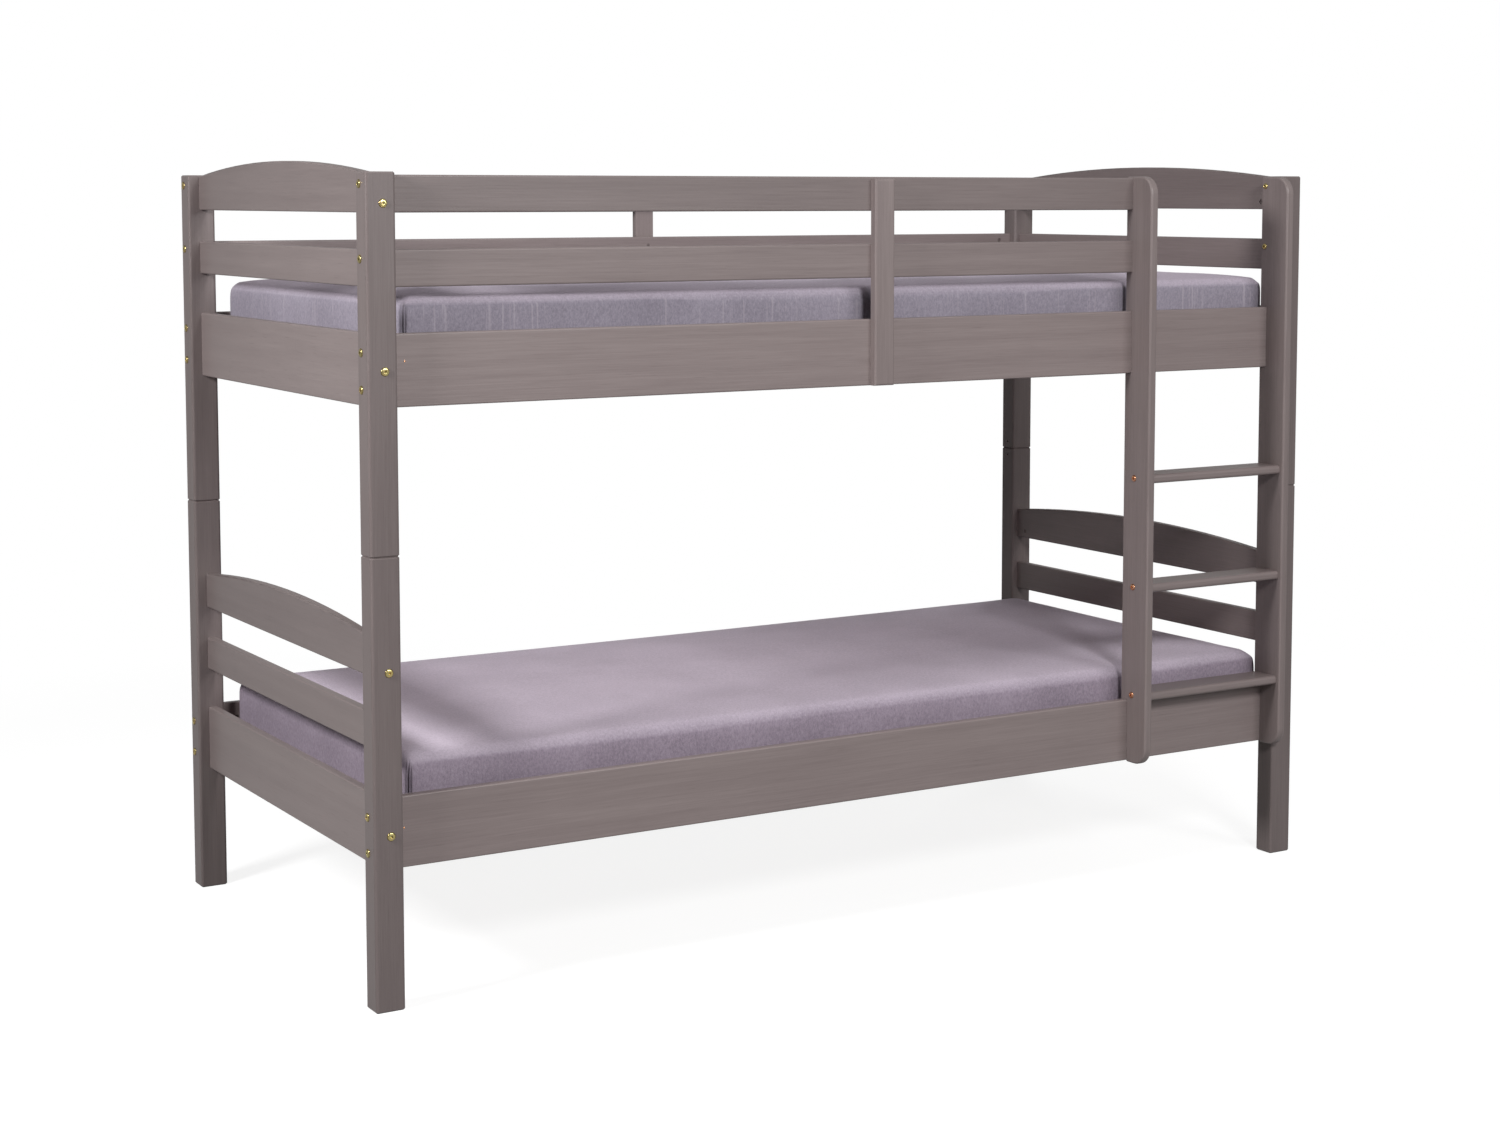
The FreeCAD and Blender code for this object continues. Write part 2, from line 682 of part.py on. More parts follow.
def join_side_rail(bunk, side, depth):
    """Fix one end of a side rail to a post with two bolts."""
    line = f"{SIDE_RAIL_Y[depth]} + rail_thickness / 2"
    for height in ("side_bolt_inset", "side_rail_height - side_bolt_inset"):
        bolt_joint(f"{bunk}_side_rail_bolts", f"{bunk}_barrel_nuts", ALONG_BED[side],
                   (OUTER_X[side], line, f"{BASE[bunk]} + {height}"), "post_width",
                   posts[bunk, depth, side], side_rails[bunk, depth], opposite(ACROSS_BED[depth]))


GUARD_BOLT_HEIGHT = {"top": "upper_base + top_rail_lift + slim_rail_height - guard_bolt_drop",
                     "lower": "upper_base + middle_rail_lift + slim_rail_height - guard_bolt_drop"}
GUARD_DOWEL_HEIGHT = {"top": "upper_base + top_rail_lift + guard_dowel_lift",
                      "lower": "upper_base + middle_rail_lift + guard_dowel_lift"}


def join_guard_rail(side, depth, level):
    """Fix one end of a guard rail to a post with a bolt and a dowel."""
    line = f"{SIDE_RAIL_Y[depth]} + rail_thickness / 2"
    piece = posts["upper", depth, side]
    rail = guard_rails[depth, level]
    bolt_joint("upper_side_rail_bolts", "upper_barrel_nuts", ALONG_BED[side],
               (OUTER_X[side], line, GUARD_BOLT_HEIGHT[level]), "post_width", piece, rail,
               opposite(ACROSS_BED[depth]))
    seam = (INNER_X[side], line, GUARD_DOWEL_HEIGHT[level])
    dowel_joint("upper_dowels", ALONG_BED[side], seam, piece, rail)


def join_ladder(level):
    """Bolt the left stile to a guard rail, and the right stile through the post to a sleeve nut."""
    line = "front_rail + rail_thickness / 2"
    height = GUARD_BOLT_HEIGHT[level]
    bolt_joint("ladder_guard_bolts", "upper_barrel_nuts", "-x", ("left_stile_inner", line, height),
               "stile_thickness", stiles["left"], guard_rails["front", level], "-y")
    corner_post = posts["upper", "front", "right"]
    bore(corner_post, "-x", "bolt_hole", "post_width", ("right_end", line, height))
    bore(stiles["right"], "+x", "sleeve_hole", "stile_thickness", ("right_stile", line, height))
    fasten("ladder_post_bolts", "-x", ("right_end", line, height))
    fasten("ladder_sleeve_nuts", "+x", ("right_stile", line, height))


def join_rung(number, step):
    """Bolt a rung from the outer face of each stile. Beside the post the head lies in a recess."""
    height = f"first_rung + {number} * rung_spacing + rung_thickness / 2"
    left_head = ("left_stile", "rung_bolt_line", height)
    right_face = ("right_stile + stile_thickness", "rung_bolt_line", height)
    recess = "rung_bolt_head_height + fit_play"
    right_head = moved(right_face, "-x", recess)
    bore(stiles["left"], "+x", "bolt_thread_hole", "stile_thickness", left_head)
    bore(stiles["right"], "-x", "rung_bolt_head + fit_play", recess, right_face)
    bore(stiles["right"], "-x", "bolt_thread_hole", "stile_thickness", right_face)
    reach = "rung_bolt_reach + bolt_tip_room"
    bore(step, "+x", "bolt_thread_hole", reach, moved(left_head, "+x", "stile_thickness"))
    bore(step, "-x", "bolt_thread_hole", reach, moved(right_face, "-x", "stile_thickness"))
    fasten("ladder_rung_bolts", "+x", left_head)
    fasten("ladder_rung_bolts", "-x", right_head)


def screw_from_inside(depth, column, rail, rail_top, outer):
    """Two screws through a rail from the mattress side into the board on its outside."""
    out = opposite(ACROSS_BED[depth])
    inner_face = {"front": "front_rail_inner", "back": "back_rail"}[depth]
    for drop in ("guard_screw_drop", "guard_screw_drop + guard_screw_spacing"):
        head = (column, inner_face, f"{rail_top} - ({drop})")
        bore(rail, out, "screw_hole", "rail_thickness", head)
        countersink(rail, out, head)
        bore(outer, out, "screw_hole", "guard_screw_bite + hole_room", moved(head, out, "rail_thickness"))
        fasten("guard_ladder_screws", out, head)


for bunk in BASE:
    for depth, side in CORNERS:
        join_end_rails(bunk, side, depth)
        join_side_rail(bunk, side, depth)
for level in GUARD_BOLT_HEIGHT:
    join_guard_rail("left", "front", level)
    join_guard_rail("left", "back", level)
    join_guard_rail("right", "back", level)
    join_ladder(level)
for number, step in enumerate(rungs):
    join_rung(number, step)
for depth in POST_Y:
    screw_from_inside(depth, "0", side_rails["upper", depth], "upper_rail_top", uprights[depth])
    screw_from_inside(depth, "0", guard_rails[depth, "lower"],
                      "upper_base + middle_rail_lift + slim_rail_height", uprights[depth])
    screw_from_inside(depth, "0", guard_rails[depth, "top"], "guard_top", uprights[depth])
for side in stiles:
    screw_from_inside("front", f"{side}_stile + stile_thickness / 2", side_rails["upper", "front"],
                      "upper_rail_top", stiles[side])
doc.recompute()


# One model of each fastener. Its head sits on its own zero plane and its shank points along +Z.

ORIGIN = ("0", "0", "0")


def round_bar(body, diameter, length, start="0"):
    """Add a cylinder along Z."""
    bar = body.newObject("PartDesign::AdditiveCylinder", f"{body.Label}_bar")
    bind_sizes(bar, Radius=f"({diameter}) / 2", Height=length)
    bind_place(bar, ("0", "0", start))
    return bar


def bevel_edges(body, size, chosen):
    """Bevel the edges that a test picks."""
    doc.recompute()
    base = body.Tip
    edges = [f"Edge{number}" for number, edge in enumerate(base.Shape.Edges, start=1) if chosen(edge)]
    bevel = body.newObject("PartDesign::Chamfer", f"{body.Label}_bevel")
    bevel.Base = (base, edges)
    bind_sizes(bevel, Size=size)


def is_circle_at(height):
    """Test for round edges at one height."""
    return lambda edge: edge.isClosed() and abs(edge.CenterOfMass.z - height) < SAME_PLACE


def bolt_model(label, length, head_diameter, head_height):
    """Bolt with a flat, bevelled head and a hexagon socket."""
    body = new_body(label, ORIGIN)
    round_bar(body, head_diameter, head_height, f"-{head_height}")
    bevel_edges(body, "bolt_head_chamfer", is_circle_at(-value(head_height)))
    round_bar(body, "bolt_diameter", length)
    socket = body.newObject("PartDesign::SubtractivePrism", f"{label}_socket")
    socket.Polygon = 6
    bind_sizes(socket, Circumradius="socket_width / sqrt(3)", Height="socket_depth")
    bind_place(socket, ("0", "0", f"-{head_height}"))
    doc.recompute()
    return body


def barrel_nut_model():
    """Cross nut: a short bar with the bolt's hole through its side and a slot in its outer end."""
    body = new_body("barrel_nut_model", ORIGIN)
    round_bar(body, "nut_diameter", "nut_length", "-nut_length / 2")
    bore(body, "+x", "bolt_thread_hole", "2 * nut_diameter", ("-nut_diameter", "0", "0"))
    slot = body.newObject("PartDesign::SubtractiveBox", "barrel_nut_slot")
    bind_sizes(slot, Length="2 * nut_diameter", Width="nut_slot", Height="nut_slot")
    bind_place(slot, ("-nut_diameter", "-nut_slot / 2", "-nut_length / 2"))
    doc.recompute()
    return body


def sleeve_nut_model():
    """Flanged sleeve with a thread through it."""
    body = new_body("sleeve_nut_model", ORIGIN)
    round_bar(body, "sleeve_head_diameter", "bolt_head_height", "-bolt_head_height")
    bevel_edges(body, "bolt_head_chamfer", is_circle_at(-value("bolt_head_height")))
    round_bar(body, "sleeve_diameter", "sleeve_length")
    mouth = ("0", "0", "-bolt_head_height")
    bore(body, "+z", "bolt_thread_hole", "bolt_head_height + sleeve_length", mouth)
    doc.recompute()
    return body


def pin_model(label, diameter, length):
    """Plain round pin with bevelled ends, centred on its middle."""
    body = new_body(label, ORIGIN)
    round_bar(body, diameter, length, f"-{length} / 2")
    bevel_edges(body, "dowel_chamfer", lambda edge: edge.isClosed())
    doc.recompute()
    return body


def screw_model(label, length):
    """Countersunk wood screw with a cross recess and a point."""
    body = new_body(label, ORIGIN)
    head = body.newObject("PartDesign::AdditiveCone", f"{label}_head")
    bind_sizes(head, Radius1="screw_head_diameter / 2", Radius2="screw_diameter / 2",
               Height="screw_head_height")
    round_bar(body, "screw_diameter", f"{length} - screw_point")
    point = body.newObject("PartDesign::AdditiveCone", f"{label}_point")
    bind_sizes(point, Radius1="screw_diameter / 2", Radius2="screw_tip_diameter / 2", Height="screw_point")
    bind_place(point, ("0", "0", f"{length} - screw_point"))
    for spans in (("screw_recess_span", "screw_recess_width"), ("screw_recess_width", "screw_recess_span")):
        recess = body.newObject("PartDesign::SubtractiveBox", f"{label}_recess")
        bind_sizes(recess, Length=spans[0], Width=spans[1], Height="screw_recess_depth")
        bind_place(recess, (f"-{spans[0]} / 2", f"-{spans[1]} / 2", "0"))
    doc.recompute()
    return body


side_bolt = bolt_model("side_bolt_model", "side_bolt_length", "bolt_head_diameter", "bolt_head_height")
end_bolt = bolt_model("end_bolt_model", "end_bolt_length", "bolt_head_diameter", "bolt_head_height")
ladder_guard_bolt = bolt_model("ladder_guard_bolt_model", "ladder_guard_bolt_length", "bolt_head_diameter",
                               "bolt_head_height")
ladder_post_bolt = bolt_model("ladder_post_bolt_model", "ladder_post_bolt_length", "bolt_head_diameter",
                              "bolt_head_height")
rung_bolt = bolt_model("rung_bolt_model", "rung_bolt_length", "rung_bolt_head", "rung_bolt_head_height")
barrel_nut = barrel_nut_model()
sleeve_nut = sleeve_nut_model()
joint_pin = pin_model("joint_pin_model", "pin_diameter", "pin_length")
dowel = pin_model("dowel_model", "dowel_diameter", "dowel_length")
slat_screw = screw_model("slat_screw_model", "slat_screw_length")
cleat_screw = screw_model("cleat_screw_model", "cleat_screw_length")
guard_screw = screw_model("guard_screw_model", "guard_screw_length")


# Groups of like pieces, each a node of separate solids

def placed_copies(model, group):
    """One copy of a fastener at each place noted for its group."""
    copies = []
    for place in fastener_places[group]:
        copy = model.Shape.copy()
        copy.Placement = place
        copies.append(copy)
    return copies


def group_node(label, solids):
    """Node that holds several separate solids."""
    node = doc.addObject("Part::Feature", label)
    node.Label = label
    node.Shape = Part.makeCompound(solids)
    node.Placement = Placement()
    return node


def slat_set(bunk):
    """The slats of one bunk, evenly spaced along its deck."""
    drop = value(f"{BASE[bunk]} - upper_base")
    solids = []
    for number in range(round(value("slat_count"))):
        copy = slat.Shape.copy()
        copy.translate(Vector(number * value("slat_pitch"), 0, drop))
        solids.append(copy)
    return group_node(f"{bunk}_slats", solids)


groups = [slat_set(bunk) for bunk in BASE]
for bunk in BASE:
    for kind, model in (("end_rail_bolts", end_bolt), ("side_rail_bolts", side_bolt),
                        ("barrel_nuts", barrel_nut), ("dowels", dowel)):
        groups.append(group_node(f"{bunk}_{kind}", placed_copies(model, f"{bunk}_{kind}")))
    deck_screws = [*placed_copies(slat_screw, f"{bunk}_slat_screws"),
                   *placed_copies(cleat_screw, f"{bunk}_cleat_screws")]
    groups.append(group_node(f"{bunk}_deck_screws", deck_screws))
for group, model in (("post_joint_pins", joint_pin), ("ladder_rung_bolts", rung_bolt),
                     ("ladder_guard_bolts", ladder_guard_bolt), ("ladder_post_bolts", ladder_post_bolt),
                     ("ladder_sleeve_nuts", sleeve_nut), ("guard_ladder_screws", guard_screw)):
    groups.append(group_node(group, placed_copies(model, group)))


# Mattresses

# Turns, in degrees, at which an outline is drawn on the rounded foot and on the rounded top edge, and
# shares of the half width at which one is drawn on the crown.
FOOT_TURNS = (0, 30, 60, 90)
EDGE_TURNS = (0, 30, 60, 80)
CROWN_SHARES = (0.2, 0.45, 0.7)


def mattress_levels():
    """Inset and height of each level: up the rounded foot, over the rounded edge, on to the crown."""
    foot = value("mattress_foot_radius")
    edge = value("mattress_edge_radius")
    height = value("mattress_height")
    crown = value("mattress_crown")
    half_width = value("mattress_width") / 2
    levels = []
    for turn in FOOT_TURNS:
        angle = math.radians(turn)
        levels.append((foot * (1 - math.sin(angle)), foot * (1 - math.cos(angle))))
    for turn in EDGE_TURNS:
        angle = math.radians(turn)
        levels.append((edge * (1 - math.cos(angle)), height - edge * (1 - math.sin(angle))))
    for share in CROWN_SHARES:
        levels.append((share * half_width, height + crown * (1 - (1 - share) ** 2)))
    return levels


def mattress_outline(inset, height):
    """Level outline: four sides drawn in by shallow arcs between four rounded corners."""
    half_length = value("mattress_length") / 2 - inset
    half_width = value("mattress_width") / 2 - inset
    corner = value("mattress_corner_radius")
    corner_cut = corner * (1 - math.sqrt(0.5))
    draw = value("mattress_side_draw")
    edges = []
    for quarter in range(4):
        lengthwise = quarter % 2 == 0
        reach, run = (half_width, half_length) if lengthwise else (half_length, half_width)
        turn = Rotation(AXES["z"], 90 * quarter)
        start = Vector(corner - run, -reach, height)
        end = Vector(run - corner, -reach, height)
        middle = Vector(0, draw - reach, height)
        edges.append(Part.Arc(turn.multVec(start), turn.multVec(middle), turn.multVec(end)).toShape())
        bend = Vector(run - corner_cut, corner_cut - reach, height)
        last = Vector(run, corner - reach, height)
        edges.append(Part.Arc(turn.multVec(end), turn.multVec(bend), turn.multVec(last)).toShape())
    return Part.Wire(edges)


def mattress(bunk):
    """Foam mattress in its fitted sheet: crowned on top, rounded at its edges, drawn in along its sides."""
    node = doc.addObject("Part::Feature", f"{bunk}_mattress")
    node.Label = f"{bunk}_mattress"
    node.Shape = Part.makeLoft([mattress_outline(*level) for level in mattress_levels()], True, True)
    middle = Vector(0, value("mattress_middle"), value(f"{BASE[bunk]} + mattress_lift"))
    node.Placement = Placement(middle, Rotation())
    return node


mattresses = [mattress(bunk) for bunk in BASE]
doc.recompute()


# Check every object, then write each sub-part

nodes = [*posts.values(), *side_rails.values(), *guard_rails.values(), *end_rails.values(),
         *uprights.values(), *stiles.values(), *rungs, *cleats.values(), *groups, *mattresses]
for thing in doc.Objects:
    if "Invalid" in thing.State or "Error" in thing.State:
        raise RuntimeError(f"{thing.Label} did not build: {thing.State}")
for node in nodes:
    if node.Shape.isNull() or not node.Shape.isValid():
        raise RuntimeError(f"{node.Label} has no valid shape")
os.makedirs("parts", exist_ok=True)
for node in nodes:
    node.Shape.exportStep(f"parts/{node.Label}.step")
box = Part.makeCompound([node.Shape for node in nodes]).BoundBox
print(f"{len(nodes)} sub-parts, {box.XLength:.1f} x {box.YLength:.1f} x {box.ZLength:.1f} mm")
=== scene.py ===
import json
import math

import bmesh
import bpy
import numpy as np
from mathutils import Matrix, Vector


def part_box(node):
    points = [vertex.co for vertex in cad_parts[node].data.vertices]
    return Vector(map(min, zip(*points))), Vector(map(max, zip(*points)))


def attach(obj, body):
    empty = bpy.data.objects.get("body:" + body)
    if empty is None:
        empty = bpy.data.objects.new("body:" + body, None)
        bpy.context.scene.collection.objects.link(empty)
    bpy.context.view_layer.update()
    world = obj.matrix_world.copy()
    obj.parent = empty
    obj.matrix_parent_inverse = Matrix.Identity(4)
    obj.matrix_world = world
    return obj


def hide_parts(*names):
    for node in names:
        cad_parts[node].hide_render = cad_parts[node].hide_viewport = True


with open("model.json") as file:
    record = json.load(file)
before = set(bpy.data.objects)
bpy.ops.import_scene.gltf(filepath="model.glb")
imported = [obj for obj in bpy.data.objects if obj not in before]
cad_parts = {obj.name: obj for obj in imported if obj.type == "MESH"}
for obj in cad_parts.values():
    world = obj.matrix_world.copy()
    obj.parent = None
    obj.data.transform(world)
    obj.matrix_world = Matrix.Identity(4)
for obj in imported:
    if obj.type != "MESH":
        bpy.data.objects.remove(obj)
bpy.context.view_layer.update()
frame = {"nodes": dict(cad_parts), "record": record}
scene = bpy.context.scene

# A painted bunk bed with two mattresses in fitted jersey sheets. Metres, +X along the bed, +Z up.


# Meshes

SEAM_REACH = 1e-5


def grid_quads(rows, columns):
    """Corner numbers of the quads of a grid whose columns close on themselves."""
    row, column = np.mgrid[0:rows - 1, 0:columns]
    after = (column + 1) % columns
    this_row = row * columns
    next_row = (row + 1) * columns
    corners = [this_row + column, this_row + after, next_row + after, next_row + column]
    return np.stack(corners, axis=-1).reshape(-1, 4)


def mesh_object(name, points, quads):
    """Object at the origin, with its place in its mesh."""
    mesh = bpy.data.meshes.new(name)
    mesh.from_pydata(points.tolist(), [], quads.tolist())
    mesh.validate()
    piece = bpy.data.objects.new(name, mesh)
    scene.collection.objects.link(piece)
    return piece


def rows_of(items, field):
    """A field of three numbers of every item, as an array of rows."""
    flat = np.empty(len(items) * 3, np.float32)
    items.foreach_get(field, flat)
    return flat.reshape(-1, 3).astype(float)


def points_of(mesh):
    """The points of a mesh."""
    return rows_of(mesh.vertices, "co")


def normals_of(mesh):
    """The unit normals at the points of a mesh."""
    return rows_of(mesh.vertex_normals, "vector")


def set_points(mesh, points):
    """Move the points of a mesh."""
    mesh.vertices.foreach_set("co", points.astype(np.float32).ravel())
    mesh.update()


def keep_values(piece, name, values):
    """Keep a value for every point of a piece, for its finish."""
    kept = piece.data.attributes.new(name, "FLOAT", "POINT")
    kept.data.foreach_set("value", values.astype(np.float32).ravel())


def close_seams(piece):
    """Join the points that lie together, where the rows of a grid run out."""
    shell = bmesh.new()
    shell.from_mesh(piece.data)
    bmesh.ops.remove_doubles(shell, verts=shell.verts, dist=SEAM_REACH)
    shell.to_mesh(piece.data)
    shell.free()


def settle(piece):
    """Turn a piece's modifiers into its own mesh."""
    graph = bpy.context.evaluated_depsgraph_get()
    mesh = bpy.data.meshes.new_from_object(piece.evaluated_get(graph), depsgraph=graph)
    piece.modifiers.clear()
    piece.data = mesh


def smooth_step(value, low, high):
    """Rise from 0 at the low value to 1 at the high value, level at both ends."""
    share = np.clip((value - low) / (high - low), 0.0, 1.0)
    return share * share * (3.0 - 2.0 * share)


# Mattresses

# Of the corners in turn: front right, back right, back left, front left.
CORNER_RADII = np.array([0.011, 0.020, 0.018, 0.020])
CORNER_GROWTH = 0.5
FOOT_RADIUS = 0.014
SIDE_DRAW = 0.004
CROWN = 0.004
UNDERSIDE_SHARES = np.array([1.0, 0.5, 0.1])
RIGHT_PRESS = 0.010

# Steps of the grid at fineness 1, and the two finenesses.
RUN_STEPS = 14
TURN_STEPS = 6
EDGE_STEPS = 3
SIDE_STEPS = 3
CROWN_STEPS = 5
COVER_FINENESS = 2
SHEET_FINENESS = 5

SWELL_ROOM = 0.004
SWELL_CAP = 0.006
LEAST_MOVE = 1e-9
RESTING_BAND = 0.004
RESTING_GROUP = "resting"
CLOTH_CELL = 0.0135
CLOTH_FRAMES = 20
CLOTH_SETTINGS = {
    "quality": 5,
    "mass": 0.3,
    "tension_stiffness": 12.0,
    "compression_stiffness": 12.0,
    "shear_stiffness": 6.0,
    "bending_stiffness": 0.6,
    "use_pressure": True,
    "uniform_pressure_force": 4.0,
    "vertex_group_mass": RESTING_GROUP,
}

GATHER_COUNT = 4
GATHER_DEPTH = 0.20
GATHER_FADE = (0.60, 0.97)
FOLD_SHADE_LEVEL = 0.55
RIPPLE_PERIODS = (0.047, 0.071, 0.113, 0.190)
RIPPLE_DEPTH = 0.0008
RIPPLE_SLANT = 1.3
RIPPLE_SHIFT = 1.7
WAVE_LENGTHS = (0.47, 0.39)
WAVE_HEIGHT = 0.0012
WAVE_INSET = 0.12


def oblong_path(run_points, turn_points):
    """Path round a rounded oblong, as five arrays over its points. The place is a complex number whose
    parts go from -1 to 1 along the straight runs and keep the corner's signs on the turns. The facing is
    the angle that the side looks in. The slack is 1 in the middle of a run and 0 at its ends and on the
    turns. The turn is the share of a corner that is behind a point, and 0 on the runs. The radius is the
    corner's own, and goes evenly from one corner's to the next one's along a run."""
    run = np.linspace(-1.0, 1.0, run_points, endpoint=False)
    turn = np.linspace(0.0, 1.0, turn_points, endpoint=False)
    place = np.concatenate([run - 1j, np.full(turn_points, 1 - 1j)])
    share = np.concatenate([np.zeros(run_points), turn])
    slack = np.concatenate([1.0 - run ** 2, np.zeros(turn_points)])
    quarter = np.arange(4)[:, None]
    facing = (quarter + share - 1.0) * math.pi / 2
    done = np.concatenate([(run + 1) / 2, np.ones(turn_points)])
    radius = (1 - done) * np.roll(CORNER_RADII, 1)[:, None] + done * CORNER_RADII[:, None]
    place = place * 1j ** quarter
    return place.ravel(), facing.ravel(), np.tile(slack, 4), np.tile(share, 4), radius.ravel()


def mattress_profile(half_width, height, edge_radius, fine):
    """Inset and height up a mattress: from the middle of its underside out to a rounded foot, up the
    side, round the top edge by a quarter circle and in over a crown that rises as 1 - (1 - share)
    squared."""
    quarter = np.linspace(0.0, math.pi / 2, EDGE_STEPS * fine + 1)
    climb = np.linspace(0.0, 1.0, SIDE_STEPS * fine + 2)[1:-1]
    share = np.linspace(0.0, 1.0, CROWN_STEPS * fine + 1)[1:]
    shoulder = height - CROWN
    under = half_width * UNDERSIDE_SHARES
    crown_inset = edge_radius + share * (half_width - edge_radius)
    foot_inset = FOOT_RADIUS * (1 - np.sin(quarter))
    inset = [under, foot_inset, 0 * climb, edge_radius * (1 - np.cos(quarter)), crown_inset]
    side = FOOT_RADIUS + climb * (shoulder - edge_radius - FOOT_RADIUS)
    edge = shoulder - edge_radius * (1 - np.sin(quarter))
    foot = FOOT_RADIUS * (1 - np.cos(quarter))
    rise = [0 * under, foot, side, edge, shoulder + CROWN * (1 - (1 - share) ** 2)]
    return np.concatenate(inset), np.concatenate(rise)


class MattressGrid:
    """A mattress as a grid of points: the oblong path carried up the profile. The sides are drawn in by
    the path's slack, and a corner's radius grows with the inset until it shrinks to nothing at the
    middle. The front left corner is drawn in lengthways, by the sixth power of how far left and the
    fourth power of how far forward a point lies."""

    def __init__(self, low, high, edge_radius, draw, fine):
        half = (high - low) / 2
        middle = (low + high) / 2
        inset, rise = mattress_profile(half.y, high.z - low.z, edge_radius, fine)
        path = oblong_path(RUN_STEPS * fine, TURN_STEPS * fine)
        place, self.facing, slack, self.turn, self.radius = path
        self.edge_radius = edge_radius
        self.inset = inset[:, None]
        self.rise = rise[:, None]
        self.height = high.z - low.z
        corner = (self.radius + CORNER_GROWTH * self.inset) * (1 - self.inset / half.y)
        out = corner - SIDE_DRAW * slack * (1 - self.inset / half.y)
        x = middle.x + (half.x - self.inset - corner) * place.real + out * np.cos(self.facing)
        y = middle.y + (half.y - self.inset - corner) * place.imag + out * np.sin(self.facing)
        leftness = (high.x - x) / (2 * half.x)
        frontness = (high.y - y) / (2 * half.y)
        x = x + draw * leftness ** 6 * frontness ** 4
        self.points = np.stack([x, y, np.broadcast_to(low.z + self.rise, x.shape)], axis=-1)

    def piece(self, name):
        """The grid as an object."""
        rows, columns = self.points.shape[:2]
        return mesh_object(name, self.points.reshape(-1, 3), grid_quads(rows, columns))


def even_out(piece):
    """Give a closed form a mesh of even cells."""
    cells = piece.modifiers.new("cells", "REMESH")
    cells.mode = "VOXEL"
    cells.voxel_size = CLOTH_CELL
    settle(piece)


def swell(piece, base):
    """Let the cover swell as cloth with air pressure inside. It is held where it rests on the slats, and
    no point moves further than the cap."""
    start = points_of(piece.data)
    resting = piece.vertex_groups.new(name=RESTING_GROUP)
    resting.add(np.flatnonzero(start[:, 2] < base + RESTING_BAND).tolist(), 1.0, "REPLACE")
    cloth = piece.modifiers.new("cover", "CLOTH")
    for field, setting in CLOTH_SETTINGS.items():
        setattr(cloth.settings, field, setting)
    cloth.settings.effector_weights.gravity = 0.0
    for number in range(1, CLOTH_FRAMES + 1):
        scene.frame_set(number)
    graph = bpy.context.evaluated_depsgraph_get()
    moved = points_of(piece.evaluated_get(graph).to_mesh()) - start
    far = np.linalg.norm(moved, axis=1, keepdims=True)
    moved *= np.minimum(1.0, SWELL_CAP / np.maximum(far, LEAST_MOVE))
    piece.modifiers.clear()
    piece.vertex_groups.clear()
    scene.frame_set(1)
    set_points(piece.data, start + moved)


def divide(piece):
    """Divide every cell once, smoothly."""
    division = piece.modifiers.new("division", "SUBSURF")
    division.levels = 1
    division.render_levels = 1
    settle(piece)


def lay_on(piece, cover):
    """Lay a piece's points on the nearest place of a cover, and read them back."""
    wrap = piece.modifiers.new("wrap", "SHRINKWRAP")
    wrap.target = cover
    wrap.wrap_method = "TARGET_PROJECT"
    settle(piece)
    return points_of(piece.data)


def gathers(grid, level):
    """How deep a point lies in the gathers of a fitted sheet at its corners, from 0 to 1: bulges as the
    size of a sine wave, with sharp valleys between them, that fade at the ends of the corner and towards
    the top. The level is the depth of the bulges themselves."""
    valleys = 1 - np.abs(np.sin(math.pi * GATHER_COUNT * grid.turn))
    low, high = GATHER_FADE
    fade = 1 - smooth_step(grid.rise, low * grid.height, high * grid.height)
    return (level + (1 - level) * valleys) * np.sin(math.pi * grid.turn) * fade


def ripples(points):
    """Uneven shallow ripples along the sides: the mean of sine waves of several periods."""
    along = points[..., 0] + RIPPLE_SLANT * points[..., 1]
    waves = [np.sin(2 * math.pi * along / period + RIPPLE_SHIFT * number)
             for number, period in enumerate(RIPPLE_PERIODS)]
    return RIPPLE_DEPTH * np.mean(waves, axis=0)


def dress(grid):
    """Shape the sheet: ripples and gathers on the sides and slow waves on the top, as the product of a
    sine wave along the bed and one across it."""
    points = grid.points
    upright = 1 - smooth_step(grid.inset, 0.0, grid.edge_radius)
    outward = (ripples(points) - GATHER_DEPTH * grid.radius * gathers(grid, 0.0)) * upright
    top = smooth_step(grid.inset, grid.edge_radius, WAVE_INSET) * (grid.rise > grid.height / 2)
    waves = np.sin(2 * math.pi * points[..., 0] / WAVE_LENGTHS[0])
    waves = waves * np.sin(2 * math.pi * points[..., 1] / WAVE_LENGTHS[1])
    points[..., 0] += outward * np.cos(grid.facing)
    points[..., 1] += outward * np.sin(grid.facing)
    points[..., 2] += WAVE_HEIGHT * waves * top


def mattress(node, edge_radius, gap, draw):
    """Foam mattress in its fitted sheet, in the space of its solid: a cover swells, and a finer sheet is
    laid on it and dressed. How deep each point lies in the gathers is kept for painted shade in the
    folds, and how far it belongs to the sides for the painted shade that darkens the sides."""
    low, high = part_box(node)
    low = low + Vector((gap + SWELL_ROOM, SWELL_ROOM, 0.0))
    high = high - Vector((-RIGHT_PRESS, SWELL_ROOM, SWELL_ROOM))
    cover = MattressGrid(low, high, edge_radius, draw, COVER_FINENESS).piece(f"{node}_cover")
    even_out(cover)
    swell(cover, low.z)
    divide(cover)
    grid = MattressGrid(low, high, edge_radius, draw, SHEET_FINENESS)
    piece = grid.piece(f"{node}_in_sheet")
    grid.points = lay_on(piece, cover).reshape(grid.points.shape)
    bpy.data.objects.remove(cover)
    dress(grid)
    set_points(piece.data, grid.points.reshape(-1, 3))
    # How deep each point lies in the gathers, for painted shade in the folds.
    keep_values(piece, "fold_shade", gathers(grid, FOLD_SHADE_LEVEL))
    close_seams(piece)
    # How far each point faces sideways, for the painted shade on the sides.
    keep_values(piece, "side", 1 - np.abs(normals_of(piece.data)[:, 2]))
    piece.data.shade_smooth()
    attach(piece, node)
    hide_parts(node)
    return piece


